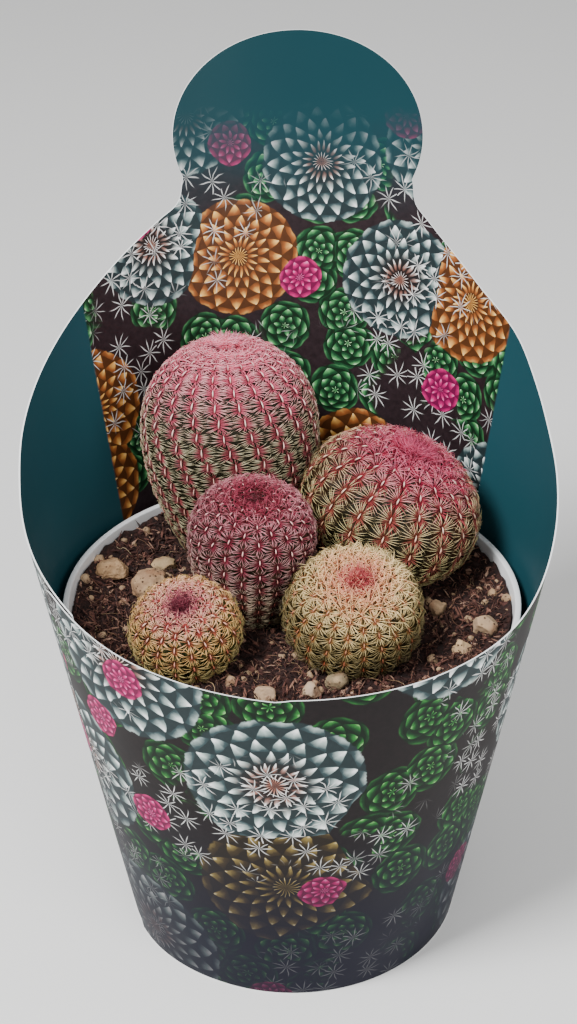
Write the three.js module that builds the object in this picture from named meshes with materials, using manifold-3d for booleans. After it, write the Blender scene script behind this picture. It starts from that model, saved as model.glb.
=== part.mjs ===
// A potted rainbow hedgehog cactus: five ribbed stems standing in the soil of a white nursery
// pot, which sits in a printed card sleeve whose back rises into a rounded header.
// Millimetres, +Z up. The origin is the centre of the pot's underside, and -Y is the front.
import * as THREE from 'three';
import { mergeVertices } from 'three/addons/utils/BufferGeometryUtils.js';
import Module from 'manifold-3d';

const wasm = await Module();
wasm.setup();

// Pot: a thin moulded cup with a thickened rim.
const POT_HEIGHT = 122.9;
const POT_RIM_RADIUS = 75;
const POT_RIM_DEPTH = 7;
const POT_RIM_WIDTH = 2.1;
const POT_BASE_RADIUS = 56.2;
const POT_WALL = 1.3;
const POT_FLOOR = 1.8;
const POT_FOOT_RISE = 2;
const POT_FOOT_INSET = 1.6;
const RIM_CHAMFER = 0.8;
const POT_SEGMENTS = 36;
const DRAIN_HOLES = 6;
const DRAIN_RADIUS = 4;
const DRAIN_CIRCLE = 40;
const DRAIN_SEGMENTS = 10;

// Sleeve: one sheet rolled into a cone that widens upwards, lapped at the left front.
const SLEEVE_FOOT_RADIUS = 57.5;
const SLEEVE_FLARE = 0.1746;
const SLEEVE_THICKNESS = 0.7;
const SLEEVE_FOOT = 0.4;
const LAP_START = -64;
const LAP_END = -52;
const LAP_RAMP = 26;
const LAP_STEP = 0.6;
const HEADER_CENTRE = 178.3;
const HEAD_HALF_ANGLE = 24.9;
const HEAD_LEVEL = 244;
const HEAD_RISE = 34.4;
const NECK_HALF_ANGLE = 23.5;
const NECK_LEVEL = 232;
const HEAD_COLUMNS = 12;
const HEAD_ROWS = 9;
const HEAD_LAST_SWEEP = 84;
const EDGE_COLUMNS = 26;

// Top edge of the sleeve from the header's neck round each side to the front: degrees from the
// header's centre line, then height.
const LEFT_EDGE = [[23.5, 232], [25.2, 223.8], [29, 219.9], [35, 214.2], [47.2, 203], [59.1, 193],
  [70.7, 183.8], [81.7, 175], [94.1, 164], [108, 157], [121.7, 152], [142, 145], [178.3, 139.5]];
const RIGHT_EDGE = [[23.5, 232], [24.7, 223.9], [27.5, 219.5], [31.7, 213.8], [42.2, 201.8],
  [54.6, 191.5], [63.9, 180.6], [73.4, 170.4], [84.3, 161.8], [94, 154.6], [106, 146.5],
  [118.3, 141.5], [142, 139.6], [178.3, 139.5]];

// Soil: a plug of peat that fills the pot to just under its rim, banked up against its wall.
const SOIL_LEVEL = 114.5;
const BANK_START = 52;
const BANK_RISE = 5.5;
const SOIL_RELIEF = 1.3;
const CLEARANCE = 0.35;
const SOIL_SEGMENTS = 34;
const SOIL_RINGS = [1, 0.88, 0.74, 0.58, 0.4, 0.2];

// The soil's relief is two crossed waves: turns per millimetre along x and y, then a shift, for
// each of the two factors, and the wave's share of the relief.
const SOIL_WAVES = [
  { share: 0.55, sine: [0.21, 0, 1.3], cosine: [0, 0.18, -0.4] },
  { share: 0.45, sine: [0.53, -0.31, 2.1], cosine: [0.22, 0.47, 0] },
];

// Stems: foot is where the axis meets the soil, lean is the axis's sideways run per unit length,
// height is from soil to crown, girth the largest radius over the rib crests, neck the radius at
// the soil, waist the fraction of the height at which the stem is widest, and twist how far the
// ribs turn round the stem for each millimetre up it, in radians.
const STEMS = [
  { name: 'stem_back_left', foot: [-20.1, 45.1], lean: [-0.016, 0.077], height: 74.4, girth: 29.3,
    neck: 16.6, waist: 0.58, twist: -0.0125, ribs: 20, areoles: 14, grooveDepth: 2, spines: 76 },
  { name: 'stem_right', foot: [24.7, 30.8], lean: [0.329, -0.067], height: 47.8, girth: 29.2,
    neck: 12, waist: 0.52, twist: 0, ribs: 18, areoles: 10, grooveDepth: 2.2, spines: 60 },
  { name: 'stem_centre', foot: [-13.6, 4.2], lean: [0.025, -0.135], height: 47.4, girth: 19.4,
    neck: 11.5, waist: 0.64, twist: 0, ribs: 22, areoles: 9, grooveDepth: 1.4, spines: 46 },
  { name: 'stem_front_right', foot: [18.7, -14.3], lean: [0.049, -0.372], height: 32.4,
    girth: 20.8, neck: 7.6, waist: 0.41, twist: 0, ribs: 22, areoles: 8, grooveDepth: 1.5,
    spines: 40 },
  { name: 'stem_front_left', foot: [-32.7, -21.5], lean: [-0.075, -0.336], height: 25.6,
    girth: 16.4, neck: 7.4, waist: 0.45, twist: 0, ribs: 18, areoles: 7, grooveDepth: 1.4,
    spines: 30 },
];
const ROOT_DEPTH = 12;
const ROOT_POINT = 2;
const ROOT_SHARE = 0.6;
const COLLAR_SHARE = 0.9;
const DOME_POWER = 2.3;
const CROWN_DIMPLE = 1.4;
const CROWN_FADE = 0.35;
const AREOLE_SWELL = 0.55;
const SIDE_SAMPLES = 400;
const COLUMNS_PER_RIB = 2;
const ROWS_PER_AREOLE = 2;
const ROWS_LEFT_AT_CROWN = 1.5;

// The spines kept in the solids: true to size, spread evenly, and set on fewer ribs towards the
// crown, where the ribs draw together. Sideways and lengthwise say how far they may tip over.
const SPINE_LENGTH = 4.4;
const SPINE_RADIUS = 0.42;
const SPINE_SINK = 1.1;
const SPINE_MARGIN = 0.9;
const SPINE_SIDEWAYS = 2.6;
const SPINE_LENGTHWISE = 1.2;
const SLOPE_REACH = 0.02;
const EVERY_SECOND_RIB_BELOW = 0.62;
const EVERY_FOURTH_RIB_BELOW = 0.3;
const SPINE_SEED = 1009;
const SPINE_SEED_STEP = 37;

// The round hole that the soil leaves for each stem, as shares of the stem's height.
const HOLE_LEVELS = [0, 0.1, 0.22, 0.36, 0.5, 0.75];
const HOLE_FOOT_SHARE = 0.62;
const HOLE_FOOT_DROP = 0.6;
const HOLE_SEGMENTS = 20;
const HOLE_GROWTH = 1.013;

// Grit: pumice chips half sunk in the soil. at is the place on the soil and size the three
// diameters.
const CHIPS = [
  { name: 'chip_round_tan', at: [-47.5, 13.5], size: [15.5, 14.5, 12.5], turn: 0.4 },
  { name: 'chip_left_tan', at: [-61, 21.2], size: [13, 9.5, 8.5], turn: 0.7 },
  { name: 'chip_rear_pale', at: [-44, 28.5], size: [10, 6.5, 6], turn: 0.2 },
  { name: 'chip_front_pale', at: [6, -45], size: [7.5, 6.5, 6.5], turn: 2 },
  { name: 'chip_front_grey', at: [13.8, -40.2], size: [8, 8, 8], turn: 0.9 },
  { name: 'chip_front_tan', at: [-8.5, -46], size: [8, 6.5, 6], turn: 0.3 },
  { name: 'chip_right_tan', at: [48.5, 1.5], size: [7, 6.5, 6.5], turn: 1.6 },
  { name: 'chip_right_rough', at: [62.5, -12.6], size: [10, 9, 8], turn: 2.7 },
  { name: 'chip_right_small', at: [54.5, -22], size: [7, 6, 6], turn: 0.2 },
];
const CHIP_BURIED = 0.3;
const CHIP_CLEARANCE = 1.3 * CLEARANCE;
const CHIP_DENTS = [0.86, 1.06];
const CHIP_SEED = 501;
const CHIP_SEED_STEP = 13;

const DEGREE = Math.PI / 180;

function seededRandom(seed) {
  let state = seed;
  return () => {
    state = (state * 1664525 + 1013904223) % 4294967296;
    return state / 4294967296;
  };
}

function toSolid(geometry) {
  const bare = geometry.clone();
  bare.deleteAttribute('normal');
  bare.deleteAttribute('uv');
  const merged = mergeVertices(bare.index ? bare.toNonIndexed() : bare, 1e-4);
  const mesh = new wasm.Mesh({
    numProp: 3,
    vertProperties: new Float32Array(merged.attributes.position.array),
    triVerts: new Uint32Array(merged.index.array),
  });
  mesh.merge();
  return new wasm.Manifold(mesh);
}

function toGeometry(solid) {
  const mesh = solid.getMesh();
  const geometry = new THREE.BufferGeometry();
  geometry.setAttribute('position', new THREE.BufferAttribute(mesh.vertProperties, 3));
  geometry.setIndex(new THREE.BufferAttribute(mesh.triVerts, 1));
  geometry.computeVertexNormals();
  return geometry;
}

// Closes a grid of points, rows of equal length that each run once round, with a fan at each end.
function closedGrid(rows, bottom, top) {
  const around = rows[0].length;
  const points = [bottom, ...rows.flat(), top];
  const corners = [];
  const at = (row, column) => 1 + row * around + (column % around);
  for (let column = 0; column < around; column += 1) {
    corners.push(0, at(0, column + 1), at(0, column));
    for (let row = 0; row + 1 < rows.length; row += 1) {
      const [a, b] = [at(row, column), at(row, column + 1)];
      const [c, d] = [at(row + 1, column + 1), at(row + 1, column)];
      corners.push(a, b, c, a, c, d);
    }
    const last = rows.length - 1;
    corners.push(at(last, column), at(last, column + 1), points.length - 1);
  }
  const geometry = new THREE.BufferGeometry();
  const numbers = points.flatMap((point) => [point.x, point.y, point.z]);
  geometry.setAttribute('position', new THREE.Float32BufferAttribute(numbers, 3));
  geometry.setIndex(corners);
  return geometry;
}

function lathe(profile, segments) {
  const points = profile.map(([radius, height]) => new THREE.Vector2(radius, height));
  return new THREE.LatheGeometry(points, segments).rotateX(Math.PI / 2);
}

function mesh(name, geometry, material) {
  const piece = new THREE.Mesh(geometry, material);
  piece.name = name;
  return piece;
}

function potInnerRadius(height) {
  const rise = (height - POT_FLOOR) / (POT_HEIGHT - POT_FLOOR);
  const inner = POT_BASE_RADIUS - POT_WALL;
  return inner + (POT_RIM_RADIUS - POT_RIM_WIDTH - inner) * rise;
}

function makePot() {
  const shoulder = POT_HEIGHT - POT_RIM_DEPTH;
  const wallAtShoulder = potInnerRadius(shoulder) + POT_WALL;
  const cup = toSolid(lathe([
    [0, 0], [POT_BASE_RADIUS - POT_FOOT_INSET, 0], [POT_BASE_RADIUS, POT_FOOT_RISE],
    [wallAtShoulder, shoulder], [POT_RIM_RADIUS - RIM_CHAMFER, shoulder + RIM_CHAMFER / 2],
    [POT_RIM_RADIUS, shoulder + 2 * RIM_CHAMFER], [POT_RIM_RADIUS, POT_HEIGHT - RIM_CHAMFER],
    [POT_RIM_RADIUS - RIM_CHAMFER, POT_HEIGHT],
    [POT_RIM_RADIUS - POT_RIM_WIDTH + RIM_CHAMFER / 2, POT_HEIGHT],
    [potInnerRadius(POT_HEIGHT - RIM_CHAMFER / 2), POT_HEIGHT - RIM_CHAMFER / 2],
    [potInnerRadius(POT_FLOOR), POT_FLOOR], [0, POT_FLOOR],
  ], POT_SEGMENTS));
  let pot = cup;
  for (let hole = 0; hole < DRAIN_HOLES; hole += 1) {
    const angle = (hole + 0.5) * 2 * Math.PI / DRAIN_HOLES;
    const cutter = new THREE.CylinderGeometry(DRAIN_RADIUS, DRAIN_RADIUS, 4 * POT_FLOOR,
      DRAIN_SEGMENTS);
    cutter.rotateX(Math.PI / 2);
    cutter.translate(DRAIN_CIRCLE * Math.cos(angle), DRAIN_CIRCLE * Math.sin(angle), 0);
    pot = pot.subtract(toSolid(cutter));
  }
  const white = new THREE.MeshStandardMaterial({ color: 0xf2f4f5, roughness: 0.45 });
  return mesh('pot', toGeometry(pot), white);
}

// Outline of the sleeve's top, one entry a column: the direction in degrees and the height.
function sleeveColumns() {
  const side = (edge, sign) => {
    const curve = new THREE.CatmullRomCurve3(
      edge.map(([angle, height]) => new THREE.Vector3(angle, height, 0)), false, 'centripetal');
    return Array.from({ length: EDGE_COLUMNS + 1 }, (unused, step) => {
      const point = curve.getPointAt(step / EDGE_COLUMNS);
      return { angle: HEADER_CENTRE + sign * point.x, top: point.y };
    });
  };
  const right = side(RIGHT_EDGE, -1).reverse();
  const left = side(LEFT_EDGE, 1).slice(0, -1);
  const neck = Array.from({ length: HEAD_COLUMNS - 1 }, (unused, step) => {
    const share = 2 * (step + 1) / HEAD_COLUMNS - 1;
    return { angle: HEADER_CENTRE + NECK_HALF_ANGLE * share, top: NECK_LEVEL };
  });
  return { columns: [...right, ...neck, ...left], headStart: right.length - 1 };
}

// How far the sheet stands out from the plain cone: the lap's outer layer rides over the inner
// one, and the sheet eases back to the cone beyond it.
function lapOffset(angle) {
  const wrapped = ((angle + 180) % 360 + 360) % 360 - 180;
  if (wrapped < LAP_START || wrapped > LAP_END + LAP_RAMP) return 0;
  if (wrapped <= LAP_END) return SLEEVE_THICKNESS;
  return SLEEVE_THICKNESS * (1 - (wrapped - LAP_END) / LAP_RAMP);
}

function sleevePoint(angle, height, inset) {
  const radius = SLEEVE_FOOT_RADIUS + SLEEVE_FLARE * height - inset;
  return new THREE.Vector3(radius * Math.sin(angle * DEGREE), -radius * Math.cos(angle * DEGREE),
    height);
}

function makeSleeve() {
  const { columns, headStart } = sleeveColumns();
  const start = LAP_START + 360;
  const lapped = columns.flatMap((column, index) => {
    const next = columns[index + 1];
    const { angle, top } = column;
    if (!next || angle >= start || next.angle < start) return [column];
    return [column, { angle: start - LAP_STEP, top }, { angle: start, top }];
  });
  const points = [];
  const corners = [];
  const add = (point) => points.push(point) - 1;
  const quad = (a, b, c, d) => corners.push(a, b, c, a, c, d);

  const ring = lapped.map(({ angle, top }) => ({
    outFoot: add(sleevePoint(angle, SLEEVE_FOOT, -lapOffset(angle))),
    outTop: add(sleevePoint(angle, top, -lapOffset(angle))),
    inTop: add(sleevePoint(angle, top, SLEEVE_THICKNESS)),
    inFoot: add(sleevePoint(angle, SLEEVE_FOOT, SLEEVE_THICKNESS)),
  }));
  ring.forEach((here, index) => {
    const next = ring[(index + 1) % ring.length];
    quad(here.outFoot, next.outFoot, next.outTop, here.outTop);
    quad(next.inFoot, here.inFoot, here.inTop, next.inTop);
    quad(here.inFoot, next.inFoot, next.outFoot, here.outFoot);
    const underHead = index >= headStart && index < headStart + HEAD_COLUMNS;
    if (!underHead) quad(here.outTop, next.outTop, next.inTop, here.inTop);
  });

  // The head stands on the neck: rows of one width each, narrowing as an ellipse does.
  let below = ring.slice(headStart, headStart + HEAD_COLUMNS + 1)
    .map((column) => ({ out: column.outTop, in: column.inTop }));
  const first = Math.asin((NECK_LEVEL - HEAD_LEVEL) / HEAD_RISE);
  const last = HEAD_LAST_SWEEP * DEGREE;
  for (let row = 1; row <= HEAD_ROWS; row += 1) {
    const sweep = first + (last - first) * row / HEAD_ROWS;
    const height = HEAD_LEVEL + HEAD_RISE * Math.sin(sweep);
    const half = HEAD_HALF_ANGLE * Math.cos(sweep);
    const above = below.map((unused, step) => {
      const angle = HEADER_CENTRE + half * (2 * step / HEAD_COLUMNS - 1);
      return {
        out: add(sleevePoint(angle, height, 0)),
        in: add(sleevePoint(angle, height, SLEEVE_THICKNESS)),
      };
    });
    for (let step = 0; step < HEAD_COLUMNS; step += 1) {
      quad(below[step].out, below[step + 1].out, above[step + 1].out, above[step].out);
      quad(below[step + 1].in, below[step].in, above[step].in, above[step + 1].in);
      if (row === HEAD_ROWS) {
        quad(above[step].out, above[step + 1].out, above[step + 1].in, above[step].in);
      }
    }
    quad(below[0].in, below[0].out, above[0].out, above[0].in);
    quad(below[HEAD_COLUMNS].out, below[HEAD_COLUMNS].in, above[HEAD_COLUMNS].in,
      above[HEAD_COLUMNS].out);
    below = above;
  }
  const geometry = new THREE.BufferGeometry();
  const numbers = points.flatMap((point) => [point.x, point.y, point.z]);
  geometry.setAttribute('position', new THREE.Float32BufferAttribute(numbers, 3));
  geometry.setIndex(corners);
  const card = new THREE.MeshStandardMaterial({ color: 0x1f4f5a, roughness: 0.3 });
  return mesh('sleeve', toGeometry(toSolid(geometry)), card);
}

function stemAxis(stem) {
  const [x, y] = stem.lean;
  return new THREE.Vector3(x, y, Math.sqrt(1 - x * x - y * y));
}

function stemFrame(stem) {
  const axis = stemAxis(stem);
  const side = new THREE.Vector3(0, 1, 0).cross(axis).normalize();
  const front = new THREE.Vector3().crossVectors(axis, side);
  return { axis, side, front, foot: new THREE.Vector3(stem.foot[0], stem.foot[1], SOIL_LEVEL) };
}

// Radius over the rib crests at a height above the soil: it swells from the neck to the waist,
// then closes over the crown in a dome.
function stemRadius(stem, height) {
  const rise = height / stem.height;
  if (rise <= 0) return stem.neck;
  if (rise < stem.waist) {
    return stem.neck + (stem.girth - stem.neck) * Math.sin(Math.PI / 2 * rise / stem.waist);
  }
  const dome = Math.min(1, (rise - stem.waist) / (1 - stem.waist));
  return stem.girth * Math.sqrt(Math.max(0, 1 - dome ** DOME_POWER));
}

// Heights of the rows of points round the stem, evenly spaced along its side: every second one
// runs through areoles.
function rowHeights(stem) {
  const path = [{ height: 0, length: 0 }];
  for (let sample = 1; sample <= SIDE_SAMPLES; sample += 1) {
    const height = stem.height * sample / SIDE_SAMPLES;
    const before = path[sample - 1];
    const run = stemRadius(stem, height) - stemRadius(stem, before.height);
    path.push({ height, length: before.length + Math.hypot(run, height - before.height) });
  }
  const total = path[SIDE_SAMPLES].length;
  const heights = [];
  const rows = ROWS_PER_AREOLE * stem.areoles;
  for (let row = 0; row < rows; row += 1) {
    const wanted = total * (row + 0.5) / (rows + ROWS_LEFT_AT_CROWN);
    heights.push(path.find((entry) => entry.length >= wanted).height);
  }
  return heights;
}

function stemPoint(stem, frame, angle, height, radius) {
  const turned = angle + stem.twist * height;
  return frame.foot.clone()
    .addScaledVector(frame.axis, height)
    .addScaledVector(frame.side, radius * Math.cos(turned))
    .addScaledVector(frame.front, radius * Math.sin(turned));
}

// The bare stem: ribs run from the neck to the crown, and each swells at every areole.
function makeStemBody(stem) {
  const frame = stemFrame(stem);
  const around = stem.ribs * COLUMNS_PER_RIB;
  const rows = [-ROOT_DEPTH, 0].map((height) => Array.from({ length: around }, (unused, column) => (
    stemPoint(stem, frame, 2 * Math.PI * column / around, height,
      stem.neck * (height < 0 ? ROOT_SHARE : COLLAR_SHARE)))));
  rowHeights(stem).forEach((height, row) => {
    const crest = stemRadius(stem, height);
    const swell = row % ROWS_PER_AREOLE ? AREOLE_SWELL : -AREOLE_SWELL;
    const fade = Math.min(1, crest / (CROWN_FADE * stem.girth));
    rows.push(Array.from({ length: around }, (unused, column) => {
      const inGroove = column % COLUMNS_PER_RIB === 1;
      const radius = inGroove ? crest - stem.grooveDepth * fade : crest + swell * fade;
      return stemPoint(stem, frame, 2 * Math.PI * column / around, height, radius);
    }));
  });
  const bottom = stemPoint(stem, frame, 0, -ROOT_DEPTH - ROOT_POINT, 0);
  const top = stemPoint(stem, frame, 0, stem.height - CROWN_DIMPLE, 0);
  return toSolid(closedGrid(rows, bottom, top));
}

// A plain round envelope of the stem, grown by a margin, that shapes its hole in the soil.
function stemEnvelope(stem, margin) {
  const frame = stemFrame(stem);
  const foot = -ROOT_DEPTH - ROOT_POINT - HOLE_FOOT_DROP;
  const heights = [foot, ...HOLE_LEVELS.map((share) => share * stem.height)];
  const rows = heights.map((height) => Array.from({ length: HOLE_SEGMENTS }, (unused, column) => {
    const bare = height === foot ? stem.neck * HOLE_FOOT_SHARE : stemRadius(stem, height);
    const angle = 2 * Math.PI * column / HOLE_SEGMENTS;
    return stemPoint(stem, frame, angle, height, (bare + margin) * HOLE_GROWTH);
  }));
  const bottom = stemPoint(stem, frame, 0, foot - HOLE_FOOT_DROP, 0);
  const top = stemPoint(stem, frame, 0, stem.height + margin, 0);
  return toSolid(closedGrid(rows, bottom, top));
}

function isInsideStem(stem, point, margin) {
  const frame = stemFrame(stem);
  const offset = point.clone().sub(frame.foot);
  const height = offset.dot(frame.axis);
  if (height > stem.height + margin || height < -ROOT_DEPTH) return false;
  const radius = offset.addScaledVector(frame.axis, -height).length();
  return radius < stemRadius(stem, height) + margin;
}

// Whether a spine's tip is clear of the soil below it and of the pot or the sleeve round it.
function isInOpenAir(tip) {
  const reach = Math.hypot(tip.x, tip.y);
  const sleeve = SLEEVE_FOOT_RADIUS + SLEEVE_FLARE * tip.z - SLEEVE_THICKNESS;
  const wall = tip.z < POT_HEIGHT + SPINE_MARGIN ? potInnerRadius(tip.z) : sleeve;
  const ground = soilHeight(tip.x, tip.y) + 2 * SOIL_RELIEF;
  return tip.z > ground && reach < wall - SPINE_MARGIN;
}

// One spine: a slim three-sided point, rooted well inside the stem.
function makeSpine(root, direction, length) {
  const spine = new THREE.ConeGeometry(SPINE_RADIUS, length + SPINE_SINK, 3);
  spine.translate(0, (length + SPINE_SINK) / 2 - SPINE_SINK, 0);
  const turn = new THREE.Quaternion().setFromUnitVectors(new THREE.Vector3(0, 1, 0), direction);
  spine.applyQuaternion(turn);
  spine.translate(root.x, root.y, root.z);
  return toSolid(spine);
}

function makeStem(stem, index) {
  const frame = stemFrame(stem);
  const random = seededRandom(SPINE_SEED + SPINE_SEED_STEP * index);
  const others = STEMS.filter((other) => other !== stem);
  const heights = rowHeights(stem).filter((height, row) => row % ROWS_PER_AREOLE === 1);
  const areoles = [];
  heights.forEach((height, row) => {
    const crest = stemRadius(stem, height);
    let step = 1;
    if (crest < EVERY_SECOND_RIB_BELOW * stem.girth) step = 2;
    if (crest < EVERY_FOURTH_RIB_BELOW * stem.girth) step = 4;
    for (let rib = row % step; rib < stem.ribs; rib += step) {
      areoles.push({ height, crest, angle: 2 * Math.PI * rib / stem.ribs });
    }
  });
  const keep = areoles.length / stem.spines;
  let body = makeStemBody(stem);
  let due = 0;
  areoles.forEach(({ height, crest, angle }) => {
    due += 1;
    if (due < keep) return;
    due -= keep;
    const root = stemPoint(stem, frame, angle, height, crest);
    const reach = SLOPE_REACH * stem.height;
    const [low, high] = [height - reach, height + reach];
    const below = stemPoint(stem, frame, angle, low, stemRadius(stem, low));
    const above = stemPoint(stem, frame, angle, high, stemRadius(stem, high));
    const along = above.sub(below).normalize();
    const turned = angle + stem.twist * height;
    const across = frame.side.clone().multiplyScalar(-Math.sin(turned))
      .addScaledVector(frame.front, Math.cos(turned));
    const outward = new THREE.Vector3().crossVectors(across, along).normalize();
    const direction = outward.clone()
      .addScaledVector(across, (random() - 0.5) * SPINE_SIDEWAYS)
      .addScaledVector(along, (random() - 0.5) * SPINE_LENGTHWISE).normalize();
    const tip = root.clone().addScaledVector(direction, SPINE_LENGTH);
    const crowded = others.some((other) => isInsideStem(other, tip, SPINE_MARGIN));
    if (crowded || !isInOpenAir(tip)) return;
    body = body.add(makeSpine(root, direction, SPINE_LENGTH));
  });
  const skin = new THREE.MeshStandardMaterial({ color: 0x9a6b62, roughness: 0.75 });
  return mesh(stem.name, toGeometry(body), skin);
}

// A chip is a dented twenty-faced lump of unit size, split once, that is then stretched to size.
function makeLump(index) {
  const random = seededRandom(CHIP_SEED + CHIP_SEED_STEP * index);
  const stone = new THREE.IcosahedronGeometry(0.5, 1);
  stone.deleteAttribute('normal');
  stone.deleteAttribute('uv');
  const lump = mergeVertices(stone, 1e-4);
  const place = lump.attributes.position;
  const [least, most] = CHIP_DENTS;
  for (let corner = 0; corner < place.count; corner += 1) {
    const dent = least + (most - least) * random();
    place.setXYZ(corner, place.getX(corner) * dent, place.getY(corner) * dent,
      place.getZ(corner) * dent);
  }
  return lump;
}

function placeChip(chip, index, growth) {
  const [length, width, height] = chip.size;
  const lump = makeLump(index);
  lump.scale(length + 2 * growth, width + 2 * growth, height + 2 * growth);
  lump.rotateZ(chip.turn);
  const [x, y] = chip.at;
  lump.translate(x, y, SOIL_LEVEL + bankHeight(x, y) + height * (0.5 - CHIP_BURIED));
  return toSolid(lump);
}

function soilWall(height) {
  return potInnerRadius(height) - CLEARANCE;
}

// How far the soil lies above its middle level where it is banked up against the wall.
function bankHeight(x, y) {
  const edge = soilWall(SOIL_LEVEL + BANK_RISE - SOIL_RELIEF);
  const share = Math.max(0, Math.hypot(x, y) - BANK_START) / (edge - BANK_START);
  return BANK_RISE * share ** 2;
}

function soilHeight(x, y) {
  const phase = ([alongX, alongY, shift]) => alongX * x + alongY * y + shift;
  const waves = SOIL_WAVES.map(({ share, sine, cosine }) => (
    share * Math.sin(phase(sine)) * Math.cos(phase(cosine))));
  return SOIL_LEVEL + bankHeight(x, y) + SOIL_RELIEF * (waves[0] + waves[1]);
}

function makeSoil() {
  const bottomLevel = POT_FLOOR + CLEARANCE;
  const ringAt = (radius, level) => Array.from({ length: SOIL_SEGMENTS }, (unused, column) => {
    const angle = 2 * Math.PI * column / SOIL_SEGMENTS;
    const [x, y] = [radius * Math.cos(angle), radius * Math.sin(angle)];
    return new THREE.Vector3(x, y, level === undefined ? soilHeight(x, y) : level);
  });
  const edge = soilWall(SOIL_LEVEL + BANK_RISE - SOIL_RELIEF);
  const rows = [ringAt(soilWall(bottomLevel), bottomLevel)];
  SOIL_RINGS.forEach((share) => rows.push(ringAt(edge * share)));
  const bottom = new THREE.Vector3(0, 0, bottomLevel);
  const top = new THREE.Vector3(0, 0, soilHeight(0, 0));
  let soil = toSolid(closedGrid(rows, bottom, top));
  STEMS.forEach((stem) => {
    soil = soil.subtract(stemEnvelope(stem, CLEARANCE + AREOLE_SWELL));
  });
  CHIPS.forEach((chip, index) => {
    soil = soil.subtract(placeChip(chip, index, CHIP_CLEARANCE));
  });
  const peat = new THREE.MeshStandardMaterial({ color: 0x3a2119, roughness: 0.95 });
  return mesh('soil', toGeometry(soil), peat);
}

const plant = new THREE.Group();
plant.add(makePot());
plant.add(makeSleeve());
plant.add(makeSoil());
STEMS.forEach((stem, index) => plant.add(makeStem(stem, index)));
const pumice = new THREE.MeshStandardMaterial({ color: 0xb59a78, roughness: 0.9 });
CHIPS.forEach((chip, index) => {
  plant.add(mesh(chip.name, toGeometry(placeChip(chip, index, 0)), pumice));
});

export default plant;
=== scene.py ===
import math

import bpy
import numpy as np
from mathutils import Matrix, Vector, noise
from mathutils.geometry import delaunay_2d_cdt


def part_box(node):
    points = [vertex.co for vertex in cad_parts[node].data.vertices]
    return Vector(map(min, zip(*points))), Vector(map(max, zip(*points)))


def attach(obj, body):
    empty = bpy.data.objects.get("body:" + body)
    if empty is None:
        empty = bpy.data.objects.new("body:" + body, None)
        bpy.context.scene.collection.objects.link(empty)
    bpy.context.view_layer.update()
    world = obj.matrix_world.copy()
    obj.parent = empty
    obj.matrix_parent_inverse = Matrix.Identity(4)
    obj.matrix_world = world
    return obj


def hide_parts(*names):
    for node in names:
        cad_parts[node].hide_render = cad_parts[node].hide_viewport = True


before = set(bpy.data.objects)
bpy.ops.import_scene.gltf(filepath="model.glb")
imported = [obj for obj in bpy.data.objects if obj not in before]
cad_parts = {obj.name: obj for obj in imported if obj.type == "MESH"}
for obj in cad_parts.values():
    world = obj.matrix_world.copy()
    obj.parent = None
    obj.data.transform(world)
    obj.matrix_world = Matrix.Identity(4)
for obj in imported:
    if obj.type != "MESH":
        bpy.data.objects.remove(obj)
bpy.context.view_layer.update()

# The pot: a thin white nursery pot, injection moulded in one, with a thick lip round its mouth
# and six drain holes in its floor. It carries everything else, and only its lip and the inside
# of its wall above the soil are seen from the front.
MM = 0.001
pot_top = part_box("pot")[1]
pot_height, lip_radius = pot_top.z, pot_top.x
lip_depth, lip_width, lip_fillet = 7 * MM, 2.1 * MM, 0.5 * MM
pot_wall, pot_floor = 1.3 * MM, 1.8 * MM
pot_base_radius, foot_fillet = 56.2 * MM, 1.6 * MM
wall_start, inner_start, lip_round, floor_corner = 6 * MM, 2 * MM, 1 * MM, 1 * MM
pot_sides, wall_steps = 144, 12
drain_holes, drain_radius, drain_circle, drain_sides = 6, 4 * MM, 40 * MM, 28


def paint(code):
    """A colour as it looks on a screen, such as "a0785a", as the linear colour a shader takes."""
    parts = [int(code[i:i + 2], 16) / 255 for i in (0, 2, 4)]
    return (*[p / 12.92 if p < 0.04045 else ((p + 0.055) / 1.055) ** 2.4 for p in parts], 1.0)


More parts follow.
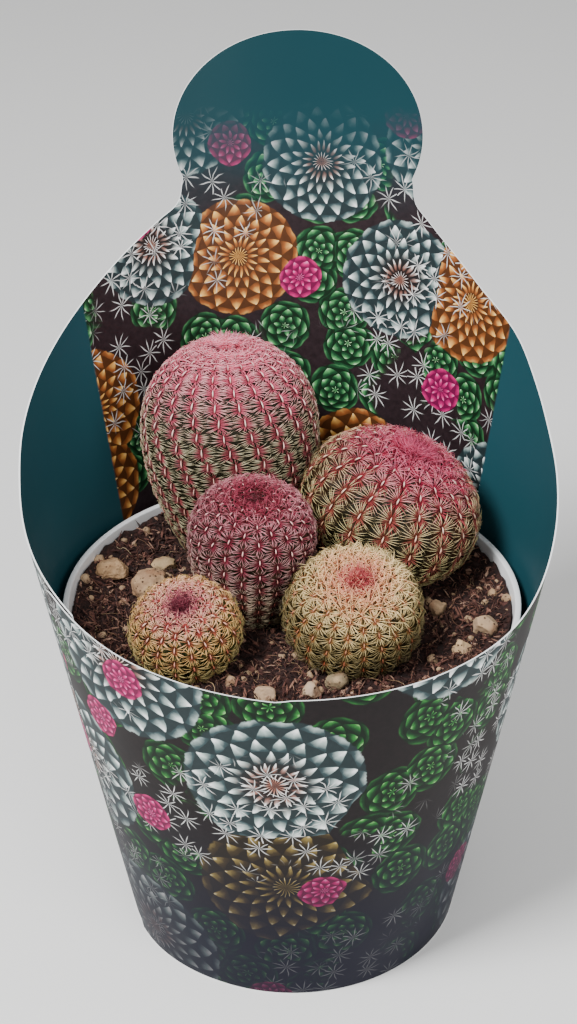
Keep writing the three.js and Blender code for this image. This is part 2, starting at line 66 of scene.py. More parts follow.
class Wire:
    """One socket of a finish. Arithmetic on it adds Math nodes, and node() adds any other kind."""

    def __init__(self, tree, socket):
        self.tree, self.socket = tree, socket

    def node(self, kind, settings=(), inputs=(), output=0):
        """A new node by its type, its settings and what its sockets take: numbers or wires."""
        made = self.tree.nodes.new(kind)
        for name, value in dict(settings).items():
            if name == "stops":
                ramp = made.color_ramp.elements
                while len(ramp) < len(value):
                    ramp.new(0.5)
                for stop, (place, colour) in zip(ramp, value):
                    stop.position, stop.color = place, colour
            else:
                setattr(made, name, value)
        pairs = inputs.items() if isinstance(inputs, dict) else enumerate(inputs)
        for key, value in pairs:
            if isinstance(value, Wire):
                self.tree.links.new(value.socket, made.inputs[key])
            else:
                made.inputs[key].default_value = value
        return Wire(self.tree, made.outputs[output])

    def other(self, output):
        """Another output of the node that this wire comes from."""
        return Wire(self.tree, self.socket.node.outputs[output])

    def feed(self, name, value):
        """Links a wire to a socket of the shader that this wire comes from."""
        self.tree.links.new(value.socket, self.socket.node.inputs[name])

    def maths(self, operation, *values):
        """A Math node's operation on this wire and the other values."""
        return self.node("ShaderNodeMath", {"operation": operation}, (self, *values))

    def __add__(self, other):
        return self.maths("ADD", other)

    def __sub__(self, other):
        return self.maths("SUBTRACT", other)

    def __mul__(self, other):
        return self.maths("MULTIPLY", other)

    def __truediv__(self, other):
        return self.maths("DIVIDE", other)

    def __pow__(self, other):
        return self.maths("POWER", other)

    def __gt__(self, other):
        return self.maths("GREATER_THAN", other)

    def __rsub__(self, other):
        return self.node("ShaderNodeMath", {"operation": "SUBTRACT"}, (other, self))

    __radd__, __rmul__ = __add__, __mul__

    def step(self, low, high):
        """0 below low, 1 above high, and smooth between. low may be the higher of the two."""
        return self.node("ShaderNodeMapRange", {"interpolation_type": "SMOOTHSTEP"},
                         {"Value": self, "From Min": low, "From Max": high})

    def ramp(self, *stops):
        """Colours that run through stops, each a value of this wire and a colour's code."""
        painted = [(place, paint(code)) for place, code in stops]
        return self.node("ShaderNodeValToRGB", {"stops": painted}, {"Fac": self})

    def mix(self, first, second, blend="MIX"):
        """first where this wire is 0 and second where it is 1, each a colour's code or a wire."""
        first, second = (colour if isinstance(colour, Wire) else paint(colour)
                         for colour in (first, second))
        return self.node("ShaderNodeMix", {"data_type": "RGBA", "blend_type": blend},
                         {0: self, 6: first, 7: second}, 2)

    def noise(self, scale, detail=3, roughness=0.55, output=0):
        """Cloudy noise, from 0 to 1, over the vector on this wire. Output 1 is three numbers."""
        return self.node("ShaderNodeTexNoise", {},
                         {"Vector": self, "Scale": scale, "Detail": detail,
                          "Roughness": roughness}, output)

    def attribute(self, name, output=2):
        """What tag() kept: output 2 is one number, and output 1 is three."""
        return self.node("ShaderNodeAttribute", {"attribute_name": name}, {}, output)

    def vector_maths(self, operation, *values, output=0):
        """A Vector Math node's operation on this wire and the other values."""
        return self.node("ShaderNodeVectorMath", {"operation": operation}, (self, *values), output)

    def parts(self):
        """The three numbers of the vector on this wire."""
        first = self.node("ShaderNodeSeparateXYZ", {}, {"Vector": self})
        return first, first.other(1), first.other(2)

    def place(self):
        """Where a point lies on the piece, in metres."""
        return self.node("ShaderNodeTexCoord", {}, {}, "Object")

    def bump(self, height, distance, strength=1.0):
        """Raises the shader's surface by a height from 0 to 1, times a distance in metres."""
        shape = self.node("ShaderNodeBump", {},
                          {"Height": height, "Distance": distance, "Strength": strength})
        self.feed("Normal", shape)


def start_finish(name, **constants):
    """A new material, and the wire of its shader. constants are values for the shader's sockets,
    named with underscores for spaces."""
    material = bpy.data.materials.new(name)
    material.use_nodes = True
    shader = material.node_tree.nodes["Principled BSDF"]
    for socket, value in constants.items():
        shader.inputs[socket.replace("_", " ")].default_value = value
    return material, Wire(material.node_tree, shader.outputs[0])


def make_piece(name, points, faces, *finishes, smooth=True):
    """A mesh object from an array of points, an array of faces or a list of such arrays, and
    its finishes."""
    groups = [np.asarray(group) for group in (faces if isinstance(faces, list) else [faces])]
    mesh = bpy.data.meshes.new(name)
    mesh.vertices.add(len(points))
    mesh.vertices.foreach_set("co", np.asarray(points, dtype=np.float32).ravel())
    corners = np.concatenate([group.ravel() for group in groups])
    sizes = np.concatenate([np.full(len(group), group.shape[1]) for group in groups])
    mesh.loops.add(len(corners))
    mesh.loops.foreach_set("vertex_index", corners.astype(np.int32))
    mesh.polygons.add(len(sizes))
    starts = np.concatenate([[0], np.cumsum(sizes)[:-1]])
    mesh.polygons.foreach_set("loop_start", starts.astype(np.int32))
    mesh.update(calc_edges=True)
    mesh.polygons.foreach_set("use_smooth", np.full(len(sizes), smooth))
    piece = bpy.data.objects.new(name, mesh)
    bpy.context.collection.objects.link(piece)
    for finish in finishes:
        mesh.materials.append(finish)
    return piece


def tag(piece, name, values):
    """Keeps one number, or three, for each point of a piece, for its finish to read."""
    values = np.asarray(values, dtype=np.float32)
    kind, key = ("FLOAT", "value") if values.ndim == 1 else ("FLOAT_VECTOR", "vector")
    made = piece.data.attributes.new(name, kind, "POINT")
    made.data.foreach_set(key, values.ravel())


def ring_faces(rows, around):
    """Quads between rows of points that each run round once."""
    row, column = np.meshgrid(np.arange(rows - 1), np.arange(around), indexing="ij")
    row, column = row.ravel(), column.ravel()
    beside = (column + 1) % around
    return np.stack([row * around + column, row * around + beside,
                     (row + 1) * around + beside, (row + 1) * around + column], axis=1)


def turn_profile(profile, around):
    """Points and quads of a closed profile of (radius, height) turned about the Z axis."""
    angle = np.linspace(0, 2 * math.pi, around, endpoint=False)
    profile = np.asarray(profile)
    points = np.stack([profile[:, :1] * np.cos(angle), profile[:, :1] * np.sin(angle),
                       np.repeat(profile[:, 1:], around, axis=1)], axis=2).reshape(-1, 3)
    return points, ring_faces(len(profile) + 1, around) % len(points)


def pot_inner(height):
    """Radius of the inside of the wall at a height."""
    start = pot_base_radius - pot_wall
    rise = (height - pot_floor) / (pot_height - pot_floor)
    return start + (lip_radius - lip_width - start) * rise


def rounded_lip(steps=4):
    """The lip's section: up its outer edge, over its flat top and down to the inside of the wall."""
    turn = np.linspace(0, math.pi / 2, steps)
    outer = [(lip_radius - lip_fillet * (1 - math.cos(a)),
              pot_height - lip_fillet * (1 - math.sin(a))) for a in turn]
    inner = [(lip_radius - lip_width + lip_fillet * (1 - math.sin(a)),
              pot_height - lip_fillet * (1 - math.cos(a))) for a in turn]
    return outer + inner


# The section stops a hair short of the axis, where its faces would shrink to nothing.
short_of_axis = 0.2 * MM
shoulder = pot_height - lip_depth
section = [(short_of_axis, 0.0), (pot_base_radius - foot_fillet, 0.0),
           (pot_base_radius - 0.4 * foot_fillet, 0.25 * foot_fillet), (pot_base_radius, foot_fillet)]
section += [(pot_inner(z) + pot_wall, z) for z in np.linspace(wall_start, shoulder, wall_steps)]
section += [(lip_radius - 0.4 * lip_round, shoulder + 0.3 * lip_round),
            (lip_radius, shoulder + lip_round)]
section += rounded_lip()
section += [(pot_inner(z), z) for z in np.linspace(
    pot_height - inner_start, pot_floor + floor_corner, wall_steps)]
section += [(pot_inner(pot_floor) - floor_corner, pot_floor), (short_of_axis, pot_floor)]
points, faces = turn_profile(section, pot_sides)

# The plastic is clean but for specks of soil that dried on the wall under the lip.
splash_top, splash_low = pot_height - 4 * MM, pot_height - 11 * MM
pot_white, white = start_finish("moulded white plastic", Roughness=0.38)
spot = white.place()
height = spot.parts()[2]
dusty = (spot.noise(260, 4) * height.step(splash_top, splash_low)).step(0.42, 0.66)
white.feed("Base Color", dusty.mix("f8f9fa", "8d7a6c"))
white.feed("Roughness", 0.34 + 0.3 * dusty + 0.08 * spot.noise(90, 2))
white.bump(spot.noise(900, 2), 0.02 * MM, 0.5)
pot = make_piece("white_pot", points, faces, pot_white)

# The drain holes are bored by one cutter of six rods, each a little longer than the floor is thick.
rod_start, rod_reach = 0.1 * MM, 4 * MM
rods, rod_faces = [], []
for hole in range(drain_holes):
    angle = (hole + 0.5) * 2 * math.pi / drain_holes
    rod, quads = turn_profile([(rod_start, -rod_reach), (drain_radius, -rod_reach),
                               (drain_radius, rod_reach), (rod_start, rod_reach)], drain_sides)
    rod_faces.append(quads + len(rod) * hole)
    rods.append(rod + [drain_circle * math.cos(angle), drain_circle * math.sin(angle), 0])
cutter = make_piece("drain_cutter", np.concatenate(rods), np.concatenate(rod_faces))
cut = pot.modifiers.new("drain holes", "BOOLEAN")
cut.operation, cut.object, cut.solver = "DIFFERENCE", cutter, "EXACT"
drilled = bpy.data.meshes.new_from_object(pot.evaluated_get(bpy.context.evaluated_depsgraph_get()))
pot.modifiers.clear()
pot.data = drilled
bpy.data.objects.remove(cutter)
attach(pot, "root")
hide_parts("pot")

# The soil: moist fibrous peat, filled in round the stems to about 8 mm under the lip and banked
# up at the pot's wall. Crumbs, shreds of bark, threads of peat and dry rootlets lie loose on it.
soil_level, soil_relief = 114.5 * MM, 1.3 * MM
bank_start, bank_rise = 52 * MM, 5.5 * MM
soil_clear = 0.35 * MM
soil_edge = pot_inner(soil_level + bank_rise - soil_relief) - soil_clear

# Every random draw in this script comes from this one seeded row of numbers, in order.
draw = np.random.default_rng(7)


def soil_height(x, y):
    """The lie of the soil, in metres: long swells and short ones, and a bank up to the wall."""
    out = np.maximum(np.hypot(x, y) - bank_start, 0) / (soil_edge - bank_start)
    x, y = np.asarray(x) / MM, np.asarray(y) / MM
    coarse = np.sin(x * 0.21 + 1.3) * np.cos(y * 0.18 - 0.4)
    fine = np.sin(x * 0.53 - y * 0.31 + 2.1) * np.cos(y * 0.47 + x * 0.22)
    return soil_level + bank_rise * out ** 2 + soil_relief * (0.55 * coarse + 0.45 * fine)


def lumps(points, size, seed, fading=0.9, finer=2.1, octaves=3):
    """Cloudy noise from -1 to 1 at each point, with features of the size given."""
    return np.array([noise.fractal(Vector(p) / size + Vector((seed, 0, 0)), fading, finer, octaves)
                     for p in points])


def end_fans(rows, around):
    """Triangles that close the first and last row onto the two points that follow all rows."""
    here = np.arange(around)
    beside = (here + 1) % around
    last, low, high = (rows - 1) * around, rows * around, rows * around + 1
    return [np.stack([np.full(around, low), beside, here], axis=1),
            np.stack([last + here, last + beside, np.full(around, high)], axis=1)]


clod_size, clod_height = 6 * MM, 1.2 * MM
grain_size, grain_height = 2.2 * MM, 0.8 * MM
around, rings, ring_crowding = 200, 64, 0.8
share = np.linspace(1, 0, rings + 1)[:-1] ** ring_crowding
angle = np.linspace(0, 2 * math.pi, around, endpoint=False)
x = (soil_edge * share[:, None] * np.cos(angle)).ravel()
y = (soil_edge * share[:, None] * np.sin(angle)).ravel()
flat = np.stack([x, y, np.zeros_like(x)], axis=1)
rise = (soil_height(x, y) + clod_height * lumps(flat, clod_size, 3)
        + grain_height * lumps(flat, grain_size, 9))
top = np.stack([x, y, rise], axis=1)
levels = [pot_floor + soil_clear, 0.5 * soil_level]
side = [np.stack([(pot_inner(z) - soil_clear) * np.cos(angle),
                  (pot_inner(z) - soil_clear) * np.sin(angle), np.full(around, z)], axis=1)
        for z in levels]
centre = np.array([[0, 0, levels[0]], [0, 0, float(soil_height(0, 0))]])
points = np.concatenate([*side, top, centre])
rows = len(side) + rings

peat, earth = start_finish("moist peat", Roughness=0.95)
spot = earth.place()
grain = spot.noise(420, 6, 0.7)
earth.feed("Base Color", grain.ramp((0.3, "100504"), (0.5, "28120e"), (0.68, "4c2a22"),
                                    (0.85, "7c5244")))
earth.feed("Roughness", 0.8 + 0.2 * spot.noise(150, 2))
earth.bump(spot.noise(900, 5, 0.75), 0.7 * MM)
soil = make_piece("peat_plug", points, [ring_faces(rows, around), *end_fans(rows, around)], peat)
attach(soil, "root")
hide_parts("soil")

# Each stem in millimetres: its foot on the soil, the sideways run of its axis for each one along
# it, its height, its radius at the neck and at its girth, and the share of the height at which
# the girth lies. Then how its ribs and areoles are set out. Soil and stems both need them.
stems = [
    dict(node="stem_back_left", foot=(-20.1, 45.1), lean=(-0.016, 0.077), height=74.4, girth=29.3,
         neck=16.6, waist=0.58, twist=-0.0125, ribs=20, areoles=19, groove=2.0, stagger=0.0),
    dict(node="stem_right", foot=(24.7, 30.8), lean=(0.329, -0.067), height=47.8, girth=29.2,
         neck=12.0, waist=0.52, twist=0.0, ribs=18, areoles=11, groove=2.2, stagger=0.5),
    dict(node="stem_centre", foot=(-13.6, 4.2), lean=(0.025, -0.135), height=47.4, girth=19.4,
         neck=11.5, waist=0.64, twist=0.0, ribs=22, areoles=11, groove=1.4, stagger=0.5),
    dict(node="stem_front_right", foot=(18.7, -14.3), lean=(0.049, -0.372), height=32.4,
         girth=20.8, neck=7.6, waist=0.41, twist=0.0, ribs=22, areoles=11, groove=1.5,
         stagger=0.5),
    dict(node="stem_front_left", foot=(-32.7, -21.5), lean=(-0.075, -0.336), height=25.6,
         girth=16.4, neck=7.4, waist=0.45, twist=0.0, ribs=18, areoles=9, groove=1.4,
         stagger=0.5),
]


def stem_frame(stem):
    """The foot, axis and two sideways directions of a stem, in metres."""
    lean_x, lean_y = stem["lean"]
    axis = np.array([lean_x, lean_y, math.sqrt(1 - lean_x ** 2 - lean_y ** 2)])
    sideways = np.cross([0, 1, 0], axis)
    sideways /= np.linalg.norm(sideways)
    foot = np.array([stem["foot"][0] * MM, stem["foot"][1] * MM, soil_level])
    return foot, axis, sideways, np.cross(axis, sideways)


def stem_radius(stem, height, dome_power=2.3, root_taper=0.04):
    """Radius over the rib crests, in metres, at heights above the soil."""
    rise = np.asarray(height) / (stem["height"] * MM)
    swelling = stem["neck"] + (stem["girth"] - stem["neck"]) * np.sin(
        math.pi / 2 * np.clip(rise / stem["waist"], 0, 1))
    dome = np.clip((rise - stem["waist"]) / (1 - stem["waist"]), 0, 1)
    closing = stem["girth"] * np.sqrt(1 - dome ** dome_power)
    buried = stem["neck"] * (1 + root_taper * np.minimum(rise * stem["height"], 0))
    return np.where(rise < 0, buried, np.where(rise < stem["waist"], swelling, closing)) * MM


def clear_of_stems(points, margin):
    """Which points lie outside every stem by at least the margin."""
    clear = np.ones(len(points), dtype=bool)
    for stem in stems:
        foot, axis, *_ = stem_frame(stem)
        offset = points - foot
        along = offset @ axis
        out = np.linalg.norm(offset - along[:, None] * axis, axis=1)
        clear &= out > stem_radius(stem, np.maximum(along, 0)) + margin
    return clear


def random_turns(count):
    """Evenly spread random rotations."""
    q = draw.normal(size=(count, 4))
    w, x, y, z = (q / np.linalg.norm(q, axis=1, keepdims=True)).T
    return np.stack([1 - 2 * (y * y + z * z), 2 * (x * y - z * w), 2 * (x * z + y * w),
                     2 * (x * y + z * w), 1 - 2 * (x * x + z * z), 2 * (y * z - x * w),
                     2 * (x * z - y * w), 2 * (y * z + x * w), 1 - 2 * (x * x + y * y)],
                    axis=1).reshape(-1, 3, 3)


def strew(name, shape, faces, places, sizes, turns, jitter, finish):
    """Copies of one small shape at many places, each turned, stretched and roughened."""
    count, corners = len(places), len(shape)
    rough = 1 + jitter * draw.uniform(-1, 1, (count, corners, 1))
    copies = np.einsum("nij,nkj->nki", turns, shape[None] * rough * sizes[:, None, :])
    points = (copies + places[:, None, :]).reshape(-1, 3)
    all_faces = (faces[None] + corners * np.arange(count)[:, None, None]).reshape(-1, 3)
    piece = make_piece(name, points, all_faces, finish, smooth=False)
    tag(piece, "tint", np.repeat(draw.random(count), corners))
    return piece


def on_soil(count, sink, margin, crowding=0.5, from_wall=0.6 * MM):
    """Random places on the soil, clear of the stems: evenly spread at 0.5, and crowded towards
    the wall below that."""
    reach = (soil_edge - from_wall) * draw.random(count * 2) ** crowding
    turn = draw.uniform(0, 2 * math.pi, count * 2)
    x, y = reach * np.cos(turn), reach * np.sin(turn)
    places = np.stack([x, y, soil_height(x, y) - sink], axis=1)
    return places[clear_of_stems(places, margin)][:count]


# A ball one unit across, of twenty faces.
golden = (1 + math.sqrt(5)) / 2
ball = np.array([(-1, golden, 0), (1, golden, 0), (-1, -golden, 0), (1, -golden, 0),
                 (0, -1, golden), (0, 1, golden), (0, -1, -golden), (0, 1, -golden),
                 (golden, 0, -1), (golden, 0, 1), (-golden, 0, -1), (-golden, 0, 1)])
ball /= np.linalg.norm(ball[0]) * 2
ball_faces = np.array([(0, 11, 5), (0, 5, 1), (0, 1, 7), (0, 7, 10), (0, 10, 11), (1, 5, 9),
                       (5, 11, 4), (11, 10, 2), (10, 7, 6), (7, 1, 8), (3, 9, 4), (3, 4, 2),
                       (3, 2, 6), (3, 6, 8), (3, 8, 9), (4, 9, 5), (2, 4, 11), (6, 2, 10),
                       (8, 6, 7), (9, 8, 1)])

crumb_finish, earth = start_finish("peat crumbs", Roughness=0.92)
tint = earth.attribute("tint")
spot = earth.place()
shade = tint * 0.75 + 0.25 * spot.noise(700, 3)
earth.feed("Base Color", shade.ramp((0.0, "140706"), (0.3, "301712"), (0.55, "4e2c26"),
                                    (0.75, "805648"), (0.88, "b08c76"), (0.98, "dcc0a4")))
earth.feed("Roughness", 0.75 + 0.25 * tint)
earth.bump(spot.noise(1500, 3), 0.25 * MM)

# Half of the crumbs are 1 mm across or less, and a few reach 3 mm.
places = on_soil(1900, sink=0.1 * MM, margin=-1.0 * MM, crowding=0.42)
sizes = (0.7 + 2.2 * draw.random((len(places), 1)) ** 3) * draw.uniform(0.6, 1.3, (len(places), 3))
sizes *= MM
crumbs = strew("peat_crumbs", ball, ball_faces, places, sizes, random_turns(len(places)),
               jitter=0.3, finish=crumb_finish)

# Shreds are bent flat slivers of four cross-sections, up to 8 mm long. They point every way, and
# most of them tilt a little.
sliver = np.array([(x, y * w, z * h + bend) for x, w, h, bend in
                   ((-1, 0.3, 0.4, -0.3), (-0.35, 1, 1, 0.15), (0.35, 0.9, 1, 0.2),
                    (1, 0.25, 0.4, -0.2)) for y, z in ((-1, -1), (1, -1), (1, 1), (-1, 1))])
sliver_faces = []
for a, b, c, d in ring_faces(4, 4):
    sliver_faces += [(a, b, c), (a, c, d)]
sliver_faces = np.array(sliver_faces + [(0, 3, 2), (0, 2, 1), (12, 13, 14), (12, 14, 15)])
places = on_soil(2600, sink=-0.35 * MM, margin=-0.3 * MM, crowding=0.42)
count = len(places)
sizes = np.stack([0.8 + 3.0 * draw.random(count) ** 2, draw.uniform(0.12, 0.5, count),
                  draw.uniform(0.08, 0.26, count)], axis=1) * MM
headings = draw.uniform(0, 2 * math.pi, count)
tilts = draw.normal(0, 0.55, count)
turns = np.array([Matrix.Rotation(heading, 3, "Z") @ Matrix.Rotation(tilt, 3, "Y")
                  for heading, tilt in zip(headings, tilts)])
shreds = strew("bark_shreds", sliver, sliver_faces, places, sizes, turns, jitter=0.18,
               finish=crumb_finish)


def tubes(paths, radii, sides=3):
    """Slim closed tubes along many paths at once, each ending in a point. paths is (tubes,
    steps, 3) and radii (tubes, steps). Returns points, quads and triangles."""
    count, steps, _ = paths.shape
    along = np.gradient(paths, axis=1)
    along /= np.linalg.norm(along, axis=2, keepdims=True) + 1e-12
    start = along[:, 0]
    other = np.where(np.abs(start[:, 2:]) < 0.8, [[0, 0, 1]], [[1, 0, 0]])
    first = np.cross(start, other)
    first /= np.linalg.norm(first, axis=1, keepdims=True)
    first = first[:, None] - along * np.sum(first[:, None] * along, axis=2, keepdims=True)
    first /= np.linalg.norm(first, axis=2, keepdims=True) + 1e-12
    second = np.cross(along, first)
    turn = np.arange(sides) * 2 * math.pi / sides
    ring = (paths[:, :-1, None] + radii[:, :-1, None, None] *
            (first[:, :-1, None] * np.cos(turn)[:, None] + second[:, :-1, None] *
             np.sin(turn)[:, None])).reshape(count, -1, 3)
    points = np.concatenate([ring, paths[:, -1:]], axis=1)
    each = points.shape[1]
    quads = ring_faces(steps - 1, sides)
    end = (steps - 2) * sides
    caps = [(end + i, end + (i + 1) % sides, each - 1) for i in range(sides)]
    caps += [(0, i + 1, i) for i in range(1, sides - 1)]
    offset = each * np.arange(count)[:, None, None]
    return (points.reshape(-1, 3), (quads[None] + offset).reshape(-1, 4),
            (np.array(caps)[None] + offset).reshape(-1, 3))


def make_fibres(name, number, steps, strides, radii, hop_height, finish, wander=0.42):
    """Threads that wander over the soil, dipping in and out of it. Sizes are in millimetres."""
    places = on_soil(number, sink=0, margin=0.2 * MM)
    count = len(places)
    heading = draw.uniform(0, 2 * math.pi, count)[:, None] + np.cumsum(
        draw.normal(0, wander, (count, steps)), axis=1)
    stride = draw.uniform(*strides, (count, 1)) * MM
    x = places[:, :1] + np.cumsum(stride * np.cos(heading), axis=1)
    y = places[:, 1:2] + np.cumsum(stride * np.sin(heading), axis=1)
    wave = np.abs(np.sin(np.linspace(0, 3, steps) * draw.uniform(0.6, 1.6, (count, 1))))
    hop = hop_height * MM * (0.3 + wave)
    paths = np.stack([x, y, soil_height(x, y) + hop], axis=2)
    inside = np.all(np.hypot(x, y) < soil_edge - 0.5 * MM, axis=1)
    inside &= clear_of_stems(paths.reshape(-1, 3), 0).reshape(count, steps).all(axis=1)
    paths = paths[inside]
    width = draw.uniform(*radii, (len(paths), 1)) * MM
    points, quads, caps = tubes(paths, width * np.linspace(1, 0.6, steps))
    piece = make_piece(name, points, [quads, caps], finish)
    tag(piece, "tint", np.repeat(draw.random(len(paths)), len(points) // len(paths)))
    return piece


root_finish, straw = start_finish("dry rootlets", Roughness=0.8)
tint = straw.attribute("tint")
straw.feed("Base Color", tint.ramp((0.0, "6a4834"), (0.45, "9a7456"), (0.8, "bc9e78"),
                                   (1.0, "d6c4a2")))
straw.feed("Roughness", 0.7 + 0.2 * straw.place().noise(500, 2))
fibres = make_fibres("peat_fibres", 4600, steps=5, strides=(0.35, 1.3), radii=(0.07, 0.2),
                     hop_height=1.3, finish=crumb_finish)
rootlets = make_fibres("rootlets", 170, steps=8, strides=(0.6, 1.8), radii=(0.06, 0.15),
                       hop_height=1.2, finish=root_finish)
for piece in (crumbs, shreds, fibres, rootlets):
    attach(piece, "root")

# The grit: chips of pumice mixed into the soil. The nine largest are half sunk, and each fills
# the place of its own node. The smaller ones are strewn.
chips = {"chip_round_tan": "98785c", "chip_left_tan": "a4805c", "chip_rear_pale": "a8906c",
         "chip_front_pale": "bca48c", "chip_front_grey": "807258", "chip_front_tan": "b0947a",
         "chip_right_tan": "94785c", "chip_right_rough": "b09478", "chip_right_small": "c8a880"}


def stone_finish(name, colour):
    """Rough stone with cloudy tan faces, brown stains, and open pores painted dark as shade."""
    material, stone = start_finish(name, Roughness=0.9)
    spot = stone.place()
    cloud = spot.noise(230, 5, 0.65)
    pores = spot.node("ShaderNodeTexVoronoi", {}, {"Vector": spot, "Scale": 620.0})
    pores_and_shade = pores.step(0.3, 0.12) * spot.noise(120, 2).step(0.4, 0.6)
    body = cloud.step(0.35, 0.8).mix(colour, "c4a47e")
    stained = spot.noise(90, 3).step(0.5, 0.72).mix(body, "8a5f42")
    # The pores are painted dark brown as the shade inside them, and the bump below also sinks them.
    stone.feed("Base Color", pores_and_shade.mix(stained, "4d3627"))
    stone.feed("Roughness", 0.8 + 0.2 * cloud)
    stone.bump(cloud - 0.6 * pores_and_shade, 0.6 * MM)
    return material


def fine_ball(levels):
    """A ball of many triangles, split from the twenty-faced one."""
    points, faces = [Vector(p).normalized() for p in ball], [tuple(f) for f in ball_faces]
    for _ in range(levels):
        middle, split = {}, []
        for face in faces:
            mids = []
            for a, b in zip(face, face[1:] + face[:1]):
                key = (min(a, b), max(a, b))
                if key not in middle:
                    middle[key] = len(points)
                    points.append((points[a] + points[b]).normalized())
                mids.append(middle[key])
            a, b, c = face
            ab, bc, ca = mids
            split += [(a, ab, ca), (ab, b, bc), (ca, bc, c), (ab, bc, ca)]
        faces = split
    return np.array(points), np.array(faces)


def chisel(points, cuts):
    """The points with several flats cut across them."""
    points = points.copy()
    for _ in range(cuts):
        normal = draw.normal(size=3)
        normal /= np.linalg.norm(normal)
        beyond = np.maximum(points @ normal - draw.uniform(0.62, 0.86), 0)
        points -= beyond[:, None] * normal
    return points


# Dents and pits are sized as shares of a chip's half. The two chips that show most are split
# finer, and all but the round one have flats.
dent_size, dent_depth = 1.1, 0.1
pit_size, pit_depth = 0.3, 0.07
split_finer, without_flats, flats = ("chip_round_tan", "chip_left_tan"), "chip_round_tan", 8
for index, (node, colour) in enumerate(chips.items()):
    round_ball, round_faces = fine_ball(4 if node in split_finer else 3)
    low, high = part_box(node)
    middle, half = np.array((low + high) / 2), np.array((high - low) / 2)
    shape = chisel(round_ball, 0 if node == without_flats else flats)
    dents = dent_depth * lumps(round_ball, dent_size, index * 5)
    pits = pit_depth * lumps(round_ball, pit_size, index)
    shape *= (1 + dents + pits)[:, None]
    shape /= np.abs(shape).max(axis=0)
    chip = make_piece(f"grit_{node}", middle + shape * half, round_faces,
                      stone_finish(f"pumice {index}", colour))
    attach(chip, "root")
    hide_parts(node)

grit_size = 1.5 * MM
places = on_soil(230, sink=-0.1 * MM, margin=0.4 * MM)
sizes = (draw.uniform(0.7, 1.5, (len(places), 1)) ** 2.2 * draw.uniform(0.7, 1.3, (len(places), 3))
         * grit_size)
knob, knob_faces = fine_ball(1)
gravel = strew("fine_grit", knob / 2, knob_faces, places, sizes, random_turns(len(places)),
               jitter=0.12, finish=stone_finish("fine pumice", "a08468"))
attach(gravel, "root")

# The stems: waxy green bodies, ribbed from neck to crown, with an areole on every swelling of a
# rib. An areole is a narrow pad of felt, and a comb of fine radial spines grows from each side of
# it and arches over the groove. Each stem has colours of its own, reddest at the crown.

# Two more rings lie under the soil. Each is given by its depth and its width, as shares of
# root_depth and of the neck's radius.
root_depth = 12 * MM
buried_rings = [(1, 0.6), (0.5, 0.85)]

# Near the crown the stem narrows. Where it is thinner than these shares of its girth its ribs fade
# out, and only every second rib has areoles, and then every third. The last areole stands a part
# of a step below the top, and a spiral of small tufts fills the rest.
fade_share, second_rib_share, third_rib_share = 0.35, 0.26, 0.13
top_gap = 0.25
tufts, tuft_turns, tuft_start, tuft_step = 19, 3.5, 0.3 * MM, 0.2 * MM
widest_girth = max(stem["girth"] for stem in stems)
